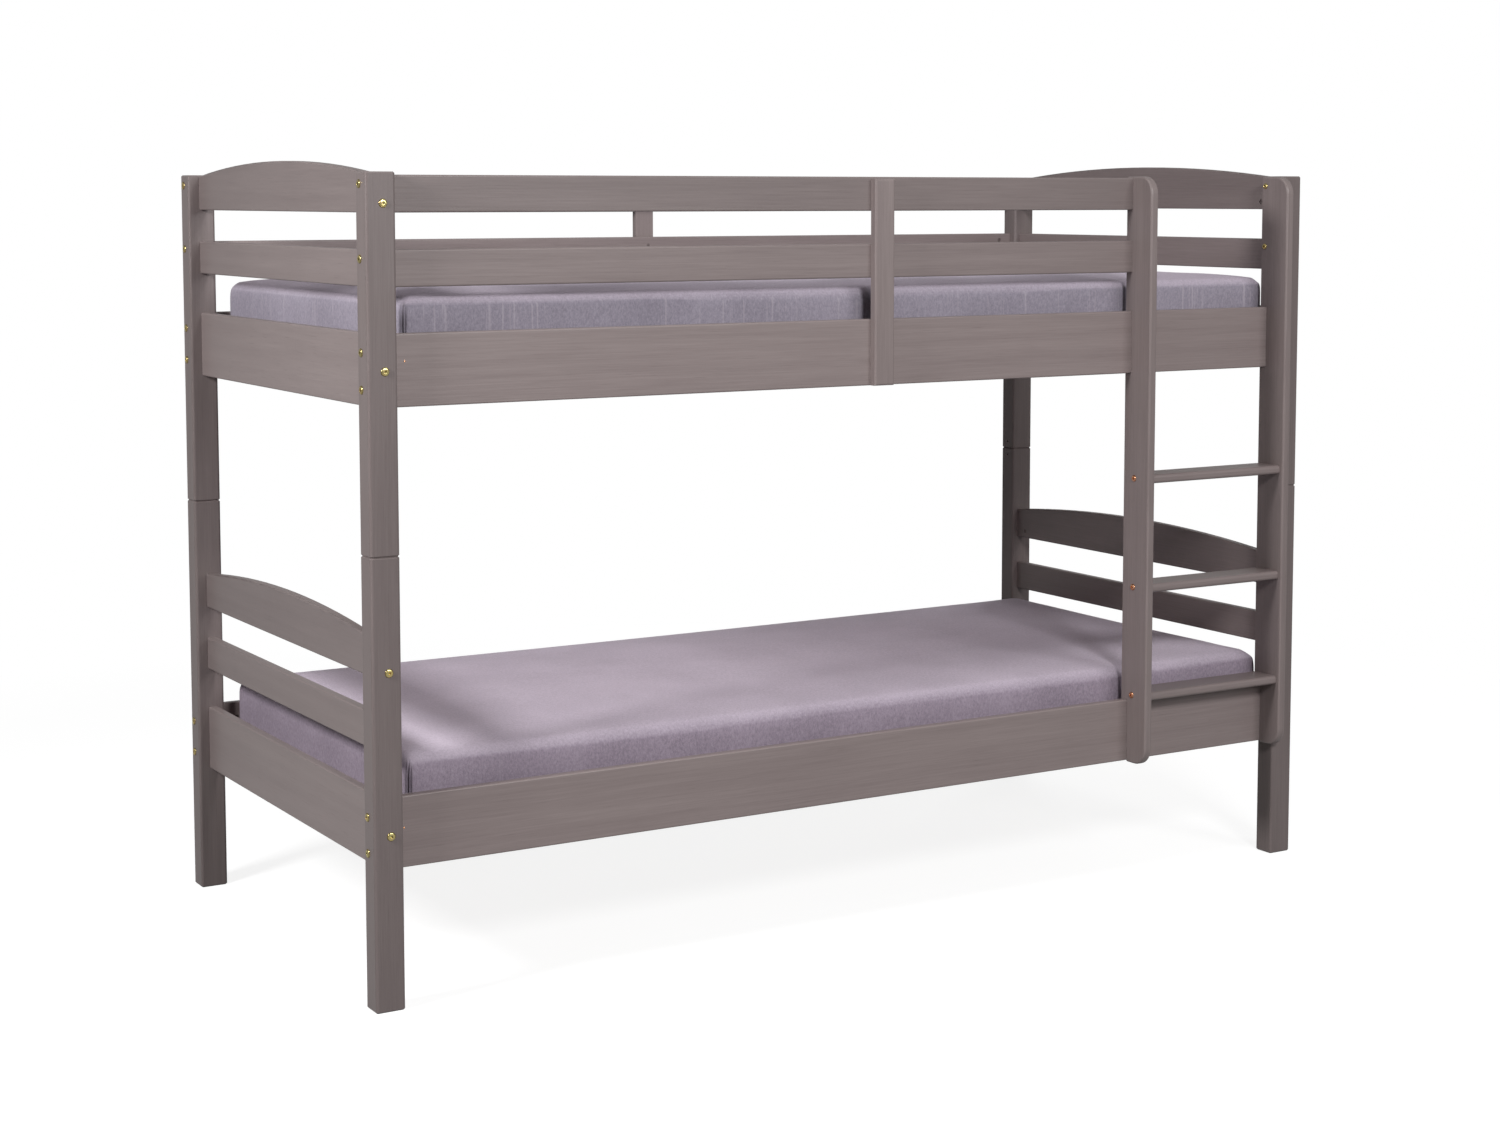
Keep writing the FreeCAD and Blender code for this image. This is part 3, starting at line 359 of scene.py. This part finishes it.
lower_mattress = mattress("lower_mattress", edge_radius=0.025, gap=0.008, draw=0.007)
upper_mattress = mattress("upper_mattress", edge_radius=0.018, gap=0.002, draw=0.014)


# Button heads of the bolts

HEAD_HEIGHT = 0.0027
HEAD_SOCKET = 0.0026
SOCKET_LIP = 0.0003
SOCKET_WALL = np.array([0.3, 0.93])
HEAD_STEPS = 12
HEAD_COLUMNS = 32
FACE_DEPTH = 1e-4
HEAD_PARTING = 0.008
ALONG = 0
ACROSS = 1
HEAD_SIDES = {(ALONG, -1): "left", (ALONG, 1): "right", (ACROSS, -1): "front", (ACROSS, 1): "back"}


def head_places(name, axis, end):
    """Middles of the bolt heads at one end of a set of bolts: its furthest points along the axis, parted
    by the side of the bed that they are on and by gaps in height."""
    points = points_of(frame["nodes"][name].data)
    reach = end * points[:, axis]
    face = points[reach > reach.max() - FACE_DEPTH]
    side = face[:, 1 - axis] > 0
    order = np.lexsort((face[:, 2], side))
    face = face[order]
    apart = np.abs(np.diff(face[:, 2])) > HEAD_PARTING
    other_side = np.diff(side[order].astype(int)) != 0
    heads = np.split(face, np.flatnonzero(apart | other_side) + 1)
    return np.array([(head.min(axis=0) + head.max(axis=0)) / 2 for head in heads])


def head_ring(radius):
    """Profile of a button head as a closed loop: up the wall of the socket, over a dome whose height is
    the root of 1 less the fourth power of the share of the radius, and back under the rim."""
    share = np.sin(np.linspace(0.0, math.pi / 2, HEAD_STEPS))
    across = HEAD_SOCKET + SOCKET_LIP + share * (radius - HEAD_SOCKET - SOCKET_LIP)
    dome = HEAD_HEIGHT * np.sqrt(1 - (across / radius) ** 4)
    wall = SOCKET_WALL * HEAD_HEIGHT
    ring = np.concatenate([[HEAD_SOCKET] * 2, across, [HEAD_SOCKET]])
    return ring, np.concatenate([wall, dome, wall[:1]])


def bolt_heads(bolts, body, slot, axis, end, radius, standing):
    """Button heads over one end of a set of bolts: the profile turned round each bolt's own line. The
    standing is how far the foot of a head lies behind the bolt's end."""
    places = head_places(bolts, axis, end)
    across, height = head_ring(radius)
    turn = end * (1 - 2 * axis) * np.linspace(0.0, 2 * math.pi, HEAD_COLUMNS, endpoint=False)
    shape = (len(places), len(across), HEAD_COLUMNS)
    points = np.empty(shape + (3,))
    points[..., axis] = places[:, None, None, axis] + end * (height[:, None] - standing)
    points[..., 1 - axis] = places[:, None, None, 1 - axis] + across[:, None] * np.cos(turn)
    points[..., 2] = places[:, None, None, 2] + across[:, None] * np.sin(turn)
    quads = grid_quads(len(across), HEAD_COLUMNS)
    starts = np.arange(len(places)) * len(across) * HEAD_COLUMNS
    quads = (starts[:, None, None] + quads).reshape(-1, 4)
    piece = mesh_object(f"{HEAD_SIDES[axis, end]}_{bolts}_heads", points.reshape(-1, 3), quads)
    close_seams(piece)
    piece.data.shade_smooth()
    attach(piece, body)
    return piece


# Radius and standing of each kind of head.
RAIL_HEAD = (0.0078, 0.002)
SLEEVE_HEAD = (0.0060, 0.002)
RUNG_HEAD = (0.0068, 0.0015)
RAIL_BOLTS = [("lower_end_rail_bolts", "lower_bed", ACROSS),
              ("lower_side_rail_bolts", "lower_bed", ALONG),
              ("upper_end_rail_bolts", "upper_bunk", ACROSS),
              ("upper_side_rail_bolts", "upper_bunk", ALONG)]
HEAD_SETS = [(bolts, body, "yellow_zinc", axis, end, *RAIL_HEAD)
             for bolts, body, axis in RAIL_BOLTS for end in (-1, 1)]
HEAD_SETS += [("ladder_post_bolts", "upper_bunk", "yellow_zinc", ALONG, 1, *RAIL_HEAD),
              ("ladder_guard_bolts", "upper_bunk", "yellow_zinc", ALONG, 1, *RAIL_HEAD),
              ("ladder_sleeve_nuts", "upper_bunk", "yellow_zinc", ALONG, -1, *SLEEVE_HEAD),
              ("ladder_rung_bolts", "upper_bunk", "copper_finish", ALONG, -1, *RUNG_HEAD)]
button_heads = [(bolt_heads(*entry), entry[2]) for entry in HEAD_SETS]


# Small pins at the left ends of the front side rails

PIN_RADIUS = 0.0019
PIN_HEIGHT = 0.0008
PIN_SINK = 0.0002
PIN_STEPS = 7
PIN_COLUMNS = 24


def rail_pin(rail, body, x, z):
    """Head of a pin in the face of a front rail: a dome, as a quarter of an ellipse turned round, closed
    behind by a flat back just inside the wood."""
    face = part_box(rail)[0].y
    turn = np.linspace(0.0, math.pi / 2, PIN_STEPS)
    radius = PIN_RADIUS * np.concatenate([np.sin(turn), [0.0]])
    depth = np.concatenate([-PIN_HEIGHT * np.cos(turn), [0.0]]) + PIN_SINK
    angle = -np.linspace(0.0, 2 * math.pi, PIN_COLUMNS, endpoint=False)
    ring_x = x + radius[:, None] * np.cos(angle)
    ring_z = z + radius[:, None] * np.sin(angle)
    ring_y = np.broadcast_to(face + depth[:, None], ring_x.shape)
    points = np.stack([ring_x, ring_y, ring_z], axis=-1)
    piece = mesh_object(f"{rail}_pin", points.reshape(-1, 3), grid_quads(*ring_x.shape))
    close_seams(piece)
    piece.data.shade_smooth()
    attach(piece, body)
    return piece


rail_pins = [rail_pin("upper_front_side_rail", "upper_bunk", x=-0.970, z=1.119),
             rail_pin("lower_front_side_rail", "lower_bed", x=-0.982, z=0.314)]


# Finishes

def rgb(red, green, blue):
    """Colour with full cover."""
    return (red, green, blue, 1.0)


PAINT_DEEP = (0.220, 0.176, 0.173)
PAINT_PALE = (0.306, 0.252, 0.246)
PAINT_PORES = rgb(0.12, 0.095, 0.09)
PINE_EARLY = rgb(0.74, 0.55, 0.35)
PINE_LATE = rgb(0.56, 0.36, 0.19)
PINE_FIBRES = rgb(0.80, 0.63, 0.43)
PINE_KNOTS = rgb(0.27, 0.14, 0.06)
JERSEY_DEEP = rgb(0.470, 0.406, 0.483)
JERSEY_PALE = rgb(0.624, 0.544, 0.640)
JERSEY_THREADS = rgb(0.52, 0.46, 0.52)
JERSEY_FOLD_SHADE = rgb(0.045, 0.038, 0.046)
JERSEY_SHEEN = rgb(0.92, 0.88, 0.95)


def add_node(tree, kind, inputs=None, **settings):
    """Add a shader node. An input is a value or another node's output."""
    made = tree.nodes.new(f"ShaderNode{kind}")
    for field, setting in settings.items():
        setattr(made, field, setting)
    for socket, source in (inputs or {}).items():
        if isinstance(source, bpy.types.NodeSocket):
            tree.links.new(source, made.inputs[socket])
        else:
            made.inputs[socket].default_value = source
    return made


def new_material(name):
    """New material and its node tree, which is empty."""
    material = bpy.data.materials.new(name)
    material.use_nodes = True
    material.node_tree.nodes.clear()
    return material, material.node_tree


def new_finish(name):
    """New material, its node tree and its surface shader."""
    material, tree = new_material(name)
    shader = add_node(tree, "BsdfPrincipled")
    add_node(tree, "OutputMaterial", {"Surface": shader.outputs["BSDF"]})
    return material, tree, shader


def object_place(tree):
    """Coordinates of the piece itself."""
    return add_node(tree, "TexCoord").outputs["Object"]


def stretched(tree, place, scale):
    """Coordinates with their own scale each way, in cells per metre."""
    return add_node(tree, "Mapping", {"Vector": place, "Scale": scale}).outputs["Vector"]


def noise(tree, place, scale, detail=3.0, roughness=0.55):
    """Noise with its own scale each way."""
    vector = stretched(tree, place, scale)
    inputs = {"Vector": vector, "Scale": 1.0, "Detail": detail, "Roughness": roughness}
    return add_node(tree, "TexNoise", inputs).outputs["Fac"]


def cell_distance(tree, place, scale):
    """Distance to the middle of the nearest of many scattered cells, with their own scale each way."""
    inputs = {"Vector": stretched(tree, place, scale), "Scale": 1.0}
    return add_node(tree, "TexVoronoi", inputs).outputs["Distance"]


def spread(tree, source, low, high, to_low=0.0, to_high=1.0):
    """Map a range of one value to another range and stop at its ends."""
    inputs = {"Value": source, "From Min": low, "From Max": high, "To Min": to_low, "To Max": to_high}
    return add_node(tree, "MapRange", inputs).outputs["Result"]


def sums(tree, operation, first, second):
    """One step of arithmetic."""
    return add_node(tree, "Math", {0: first, 1: second}, operation=operation).outputs[0]


def blend(tree, *parts):
    """Sum of several values, each times its own share."""
    weighed = [sums(tree, "MULTIPLY", source, share) for source, share in parts]
    total = weighed[0]
    for part in weighed[1:]:
        total = sums(tree, "ADD", total, part)
    return total


def mix_colour(tree, share, first, second):
    """Mix of two colours."""
    made = add_node(tree, "Mix", {0: share, 6: first, 7: second}, data_type="RGBA")
    return made.outputs[2]


def tint_by(tree, colour, other, share, most):
    """A colour with up to the most of another one in it, by a share between 0 and 1."""
    return mix_colour(tree, sums(tree, "MULTIPLY", share, most), colour, other)


def relief(tree, shader, height, depth, strength):
    """Bump of a surface from a height between 0 and 1."""
    bump = add_node(tree, "Bump", {"Height": height, "Distance": depth, "Strength": strength})
    tree.links.new(bump.outputs["Normal"], shader.inputs["Normal"])


def grain_scale(axis, along, across):
    """Noise scale that is slow along the grain and quick across it."""
    return tuple(along if name == axis else across for name in "xyz")


def lacquer(name, axis, tone_and_shade):
    """Satin taupe lacquer on pine whose grain shows through: clouds, broad figure, fibres and pores. Its
    strength of colour is partly the piece's own tone and partly painted shade.
    """
    material, tree, shader = new_finish(name)
    place = object_place(tree)
    clouds = noise(tree, place, (2.3, 2.3, 2.3), detail=2.0)
    figure = noise(tree, place, grain_scale(axis, along=1.3, across=42.0), detail=4.0)
    fibres = noise(tree, place, grain_scale(axis, along=9.0, across=430.0), detail=3.0, roughness=0.6)
    pores = noise(tree, place, grain_scale(axis, along=16.0, across=820.0), detail=1.0)
    shade = blend(tree, (clouds, 0.22), (figure, 0.38), (fibres, 0.40))
    # The strength carries painted shade for the kind of piece as well as its own tone.
    deep = rgb(*[part * tone_and_shade for part in PAINT_DEEP])
    pale = rgb(*[part * tone_and_shade for part in PAINT_PALE])
    paint = mix_colour(tree, spread(tree, shade, 0.30, 0.70), deep, pale)
    paint = tint_by(tree, paint, PAINT_PORES, spread(tree, pores, 0.66, 0.74), most=0.35)
    roughness = spread(tree, fibres, 0.25, 0.75, to_low=0.30, to_high=0.44)
    tree.links.new(paint, shader.inputs["Base Color"])
    tree.links.new(roughness, shader.inputs["Roughness"])
    shader.inputs["Specular IOR Level"].default_value = 0.42
    relief(tree, shader, blend(tree, (fibres, 0.6), (figure, 0.4)), depth=0.0006, strength=0.35)
    return material


def bare_pine(axis):
    """Planed pine: pale early wood, amber growth lines, fine fibres and a few small knots."""
    material, tree, shader = new_finish(f"bare_pine_along_{axis}")
    place = object_place(tree)
    bend = noise(tree, place, grain_scale(axis, along=0.9, across=9.0), detail=2.0)
    lines = noise(tree, place, grain_scale(axis, along=0.8, across=120.0), detail=2.0)
    fibres = noise(tree, place, grain_scale(axis, along=12.0, across=600.0), detail=2.0)
    growth = sums(tree, "ADD", lines, sums(tree, "MULTIPLY", bend, 0.4))
    middles = cell_distance(tree, place, grain_scale(axis, along=2.2, across=7.0))
    knots = spread(tree, middles, 0.055, 0.095, to_low=1.0, to_high=0.0)
    wood = mix_colour(tree, spread(tree, growth, 0.60, 0.88), PINE_EARLY, PINE_LATE)
    wood = tint_by(tree, wood, PINE_FIBRES, fibres, most=0.30)
    wood = tint_by(tree, wood, PINE_KNOTS, knots, most=0.8)
    roughness = spread(tree, fibres, 0.3, 0.7, to_low=0.55, to_high=0.72)
    tree.links.new(wood, shader.inputs["Base Color"])
    tree.links.new(roughness, shader.inputs["Roughness"])
    relief(tree, shader, fibres, depth=0.0004, strength=0.4)
    return material


def bevel_shade_share(tree):
    """0 where a surface looks straight along an axis, and 1 where it leans as a bevel does."""
    normal = add_node(tree, "NewGeometry").outputs["Normal"]
    size = add_node(tree, "VectorMath", {0: normal}, operation="ABSOLUTE").outputs["Vector"]
    parts = add_node(tree, "SeparateXYZ", {"Vector": size}).outputs
    largest = sums(tree, "MAXIMUM", sums(tree, "MAXIMUM", parts["X"], parts["Y"]), parts["Z"])
    return spread(tree, largest, 0.98, 0.75)


def plated(name, tints, edge, smooth, rough):
    """Plated metal: a tint that drifts between three colours, painted shade on the bevels, dome rims and
    socket walls, and fine scratches in its gloss."""
    material, tree, shader = new_finish(name)
    place = object_place(tree)
    drift = noise(tree, place, (90.0, 90.0, 90.0), detail=2.0)
    other = noise(tree, place, (160.0, 210.0, 140.0), detail=2.0)
    scratches = noise(tree, place, (2400.0, 700.0, 1500.0), detail=2.0)
    tint = mix_colour(tree, spread(tree, drift, 0.40, 0.60), tints[0], tints[1])
    tint = mix_colour(tree, spread(tree, other, 0.52, 0.72, to_low=0.0, to_high=0.7), tint, tints[2])
    # Painted shade: bevels, dome rims and socket walls lean, so they are darkened towards the edge
    # colour.
    tint = tint_by(tree, tint, edge, bevel_shade_share(tree), most=0.7)
    roughness = spread(tree, scratches, 0.3, 0.7, to_low=smooth, to_high=rough)
    tree.links.new(tint, shader.inputs["Base Color"])
    tree.links.new(roughness, shader.inputs["Roughness"])
    shader.inputs["Metallic"].default_value = 1.0
    relief(tree, shader, scratches, depth=0.0001, strength=0.25)
    return material


def jersey(name, shaded_side_deep, shaded_side_pale, thread_share):
    """Lilac-grey jersey: mottled yarn and fine knit, with painted shade that makes the sides darker than
    the top and the gathers darkest, and thin pale upright threads where it is stretched."""
    material, tree, shader = new_finish(name)
    place = object_place(tree)
    side = add_node(tree, "Attribute", attribute_name="side").outputs["Fac"]
    fold_shade = add_node(tree, "Attribute", attribute_name="fold_shade").outputs["Fac"]
    clouds = noise(tree, place, (5.0, 5.0, 5.0), detail=3.0)
    yarn = noise(tree, place, (210.0, 210.0, 150.0), detail=3.0, roughness=0.8)
    flecks = noise(tree, place, (480.0, 480.0, 170.0), detail=2.0, roughness=0.7)
    threads = noise(tree, place, (150.0, 150.0, 3.0), detail=2.0, roughness=0.6)
    thin_threads = spread(tree, threads, 0.60, 0.70)
    # Painted shade in the gathers: the sides darken towards a near-black by how deep a point lies in
    # them.
    shadow = spread(tree, fold_shade, 0.0, 1.0, to_low=0.0, to_high=0.9)
    mottle = spread(tree, blend(tree, (clouds, 0.25), (yarn, 0.45), (flecks, 0.30)), 0.40, 0.60)
    top = mix_colour(tree, mottle, JERSEY_DEEP, JERSEY_PALE)
    # Painted shade: the sides get darker copies of the top's colours.
    upright = mix_colour(tree, mottle, shaded_side_deep, shaded_side_pale)
    upright = tint_by(tree, upright, JERSEY_THREADS, thin_threads, most=thread_share)
    upright = mix_colour(tree, shadow, upright, JERSEY_FOLD_SHADE)
    # From the top over the rounded edge to the sides, the colour goes over to the painted-shade side
    # colours.
    cloth = mix_colour(tree, spread(tree, side, 0.06, 0.80), top, upright)
    tree.links.new(cloth, shader.inputs["Base Color"])
    shader.inputs["Roughness"].default_value = 0.92
    shader.inputs["Specular IOR Level"].default_value = 0.2
    shader.inputs["Sheen Weight"].default_value = 0.08
    shader.inputs["Sheen Roughness"].default_value = 0.45
    shader.inputs["Sheen Tint"].default_value = JERSEY_SHEEN
    loops = cell_distance(tree, place, (520.0, 520.0, 520.0))
    relief(tree, shader, blend(tree, (loops, 0.45), (yarn, 0.55)), depth=0.0012, strength=0.6)
    return material


# Which finish each solid gets

# Way of the grain and strength of the colour, by the end of a solid's name. The strengths are partly the
# boards' own tones and partly painted shade for how light falls on each kind of piece, so the posts are
# darkest.
LACQUER_TONES_AND_SHADE = {
    "_side_rail": ("x", 0.98),
    "_guard_top_rail": ("x", 0.75),
    "_guard_lower_rail": ("x", 0.88),
    "_rung": ("x", 0.90),
    "_end_rail": ("y", 0.92),
    "_middle_rail": ("y", 0.85),
    "_arched_rail": ("y", 0.77),
    "_post": ("z", 0.68),
    "_stile": ("z", 0.86),
    "_upright": ("z", 0.90),
}
LACQUER = {ending: lacquer("lacquer" + ending, *look) for ending, look in LACQUER_TONES_AND_SHADE.items()}
PINE = {axis: bare_pine(axis) for axis in "xyz"}
# Each edge colour is painted shade for the bevels, dome rims and socket walls.
METAL = {
    "yellow_zinc": plated(
        "yellow_zinc",
        tints=(rgb(0.72, 0.56, 0.22), rgb(0.56, 0.50, 0.22), rgb(0.70, 0.45, 0.24)),
        edge=rgb(0.14, 0.10, 0.04), smooth=0.16, rough=0.32),
    "copper_finish": plated(
        "copper_finish",
        tints=(rgb(0.88, 0.47, 0.27), rgb(0.76, 0.36, 0.19), rgb(0.93, 0.62, 0.43)),
        edge=rgb(0.20, 0.08, 0.04), smooth=0.18, rough=0.34),
    "dull_steel": plated(
        "dull_steel",
        tints=(rgb(0.23, 0.19, 0.185), rgb(0.20, 0.17, 0.165), rgb(0.26, 0.22, 0.21)),
        edge=rgb(0.18, 0.15, 0.145), smooth=0.56, rough=0.72),
    "plain_steel": plated(
        "plain_steel",
        tints=(rgb(0.56, 0.56, 0.57), rgb(0.50, 0.50, 0.52), rgb(0.62, 0.62, 0.60)),
        edge=rgb(0.36, 0.36, 0.37), smooth=0.26, rough=0.46),
}
# The side colours are darker copies of the top's: painted shade on the sides.
LOWER_JERSEY = jersey("lower_jersey", shaded_side_deep=rgb(0.258, 0.212, 0.264),
                      shaded_side_pale=rgb(0.392, 0.326, 0.400), thread_share=0.10)
UPPER_JERSEY = jersey("upper_jersey", shaded_side_deep=rgb(0.256, 0.231, 0.280),
                      shaded_side_pale=rgb(0.372, 0.337, 0.404), thread_share=0.40)


def grain_axis(name):
    """Axis that a solid's grain follows: its longest side, or across the bed for a set of slats."""
    if name.endswith("_slats"):
        return "y"
    low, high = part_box(name)
    return "xyz"[int(np.argmax(np.array(high - low)))]


def painted_finish(name):
    """Lacquer of a painted solid by its kind of piece."""
    return next(LACQUER[ending] for ending in LACQUER if name.endswith(ending))


def finish_of(name, slot):
    """Finish of a solid by its slot in the record. Barrel nuts and the screws of the guards and the
    ladder are dull."""
    if slot == "painted_wood":
        return painted_finish(name)
    if slot == "bare_pine":
        return PINE[grain_axis(name)]
    if name.endswith(("_barrel_nuts", "guard_ladder_screws")):
        return METAL["dull_steel"]
    return METAL.get(slot, LOWER_JERSEY)


def put_finish(piece, material):
    """Put one finish on a piece."""
    if not piece.material_slots:
        piece.data.materials.append(material)
    for slot in piece.material_slots:
        slot.material = material


for entry in frame["record"]["subparts"]:
    put_finish(frame["nodes"][entry["node"]], finish_of(entry["node"], entry["material_slot"]))
put_finish(lower_mattress, LOWER_JERSEY)
put_finish(upper_mattress, UPPER_JERSEY)
for piece in rail_pins:
    put_finish(piece, METAL["copper_finish"])
for piece, slot in button_heads:
    put_finish(piece, METAL[slot])


# Floor and light

WHITE = rgb(1.0, 1.0, 1.0)
FLOOR_MATT = rgb(0.86, 0.86, 0.86)
FLOOR_BOUNCE = rgb(0.23, 0.23, 0.23)
FLOOR_HALF = 40.0
NEAR_GLOW = 1.30
SHADOW_SHARE = 0.35
SHADOW_REACH = (1.5, 3.0)
GLOSS_SHARE = 0.35
AMBIENT = 0.055


def seen_directly(tree):
    """1 for a ray from the camera or through glass, a share for one that a gloss sends on, and 0 for
    diffuse light."""
    path = add_node(tree, "LightPath").outputs
    seen = sums(tree, "MAXIMUM", path["Is Camera Ray"], path["Is Transmission Ray"])
    return sums(tree, "MAXIMUM", seen, sums(tree, "MULTIPLY", path["Is Glossy Ray"], GLOSS_SHARE))


def mix_shader(tree, share, first, second):
    """Mix of two shaders."""
    return add_node(tree, "MixShader", {0: share, 1: first, 2: second}).outputs["Shader"]


def floor():
    """White floor. Seen directly it is white with the bed's soft shadow, and pure white further out."""
    corners = np.array([[-1, -1, 0], [1, -1, 0], [1, 1, 0], [-1, 1, 0]], float) * FLOOR_HALF
    piece = mesh_object("floor", corners, np.arange(4)[None, :])
    material, tree = new_material("white_floor")
    place = object_place(tree)
    reach = add_node(tree, "VectorMath", {0: place}, operation="LENGTH").outputs["Value"]
    glow = add_node(tree, "Emission", {"Color": WHITE, "Strength": 1.0}).outputs["Emission"]
    near_glow = add_node(tree, "Emission", {"Color": WHITE, "Strength": NEAR_GLOW}).outputs["Emission"]
    matt = add_node(tree, "BsdfDiffuse", {"Color": FLOOR_MATT}).outputs["BSDF"]
    bounce = add_node(tree, "BsdfDiffuse", {"Color": FLOOR_BOUNCE}).outputs["BSDF"]
    near = mix_shader(tree, SHADOW_SHARE, near_glow, matt)
    seen = mix_shader(tree, spread(tree, reach, *SHADOW_REACH), near, glow)
    surface = mix_shader(tree, seen_directly(tree), bounce, seen)
    add_node(tree, "OutputMaterial", {"Surface": surface})
    piece.data.materials.append(material)


def white_room():
    """World that looks white and gives a little even light."""
    world = bpy.data.worlds.new("white_room")
    world.use_nodes = True
    tree = world.node_tree
    tree.nodes.clear()
    strength = spread(tree, seen_directly(tree), 0.0, 1.0, to_low=AMBIENT, to_high=1.0)
    sky = add_node(tree, "Background", {"Color": WHITE, "Strength": strength})
    add_node(tree, "OutputWorld", {"Surface": sky.outputs["Background"]})
    scene.world = world


def softbox(name, place, aim, size, power, gloss=True):
    """Soft light that looks at a point. One without gloss gives no shine."""
    lamp = bpy.data.lights.new(name, "AREA")
    lamp.shape = "RECTANGLE"
    lamp.size, lamp.size_y = size
    lamp.energy = power
    holder = bpy.data.objects.new(name, lamp)
    holder.visible_camera = False
    holder.visible_glossy = gloss
    holder.location = place
    holder.rotation_euler = (Vector(aim) - Vector(place)).to_track_quat("-Z", "Y").to_euler()
    scene.collection.objects.link(holder)


floor()
white_room()
softbox("left_softbox", place=(-3.39, -0.79, 2.27), aim=(-1.0, -0.2, 0.55), size=(0.6, 0.6), power=86.0)
softbox("front_softbox", place=(-0.50, -4.15, 2.85), aim=(0.3, -0.3, 0.6), size=(0.8, 0.8), power=87.0)
softbox("right_softbox", place=(1.9, -6.0, 3.0), aim=(0.2, -0.3, 0.6), size=(2.2, 2.2), power=112.0)
softbox("top_softbox", place=(0.0, -0.6, 4.6), aim=(0.0, -0.2, 0.0), size=(4.0, 2.0), power=31.0)
softbox("back_softbox", place=(4.2, 4.4, 1.5), aim=(0.2, 0.2, 0.8), size=(3.0, 3.0), power=175.0,
        gloss=False)


# Camera

CAMERA_PLACE = (-2.633, -4.397, 1.399)
CAMERA_TURN = math.radians(31.2)
CAMERA_DIP = math.radians(4.95)
CAMERA_SENSOR = 36.0
CAMERA_LENS = 60.0
CAMERA_SHIFT = (-0.014, -0.10)


def camera():
    """Camera at the left front, a little above the upper mattress, looking slightly down."""
    data = bpy.data.cameras.new("camera")
    data.sensor_width = CAMERA_SENSOR
    data.lens = CAMERA_LENS
    data.shift_x, data.shift_y = CAMERA_SHIFT
    holder = bpy.data.objects.new("camera", data)
    holder.location = CAMERA_PLACE
    holder.rotation_euler = (math.pi / 2 - CAMERA_DIP, 0.0, -CAMERA_TURN)
    scene.collection.objects.link(holder)
    scene.camera = holder


camera()
scene.view_settings.view_transform = "Standard"
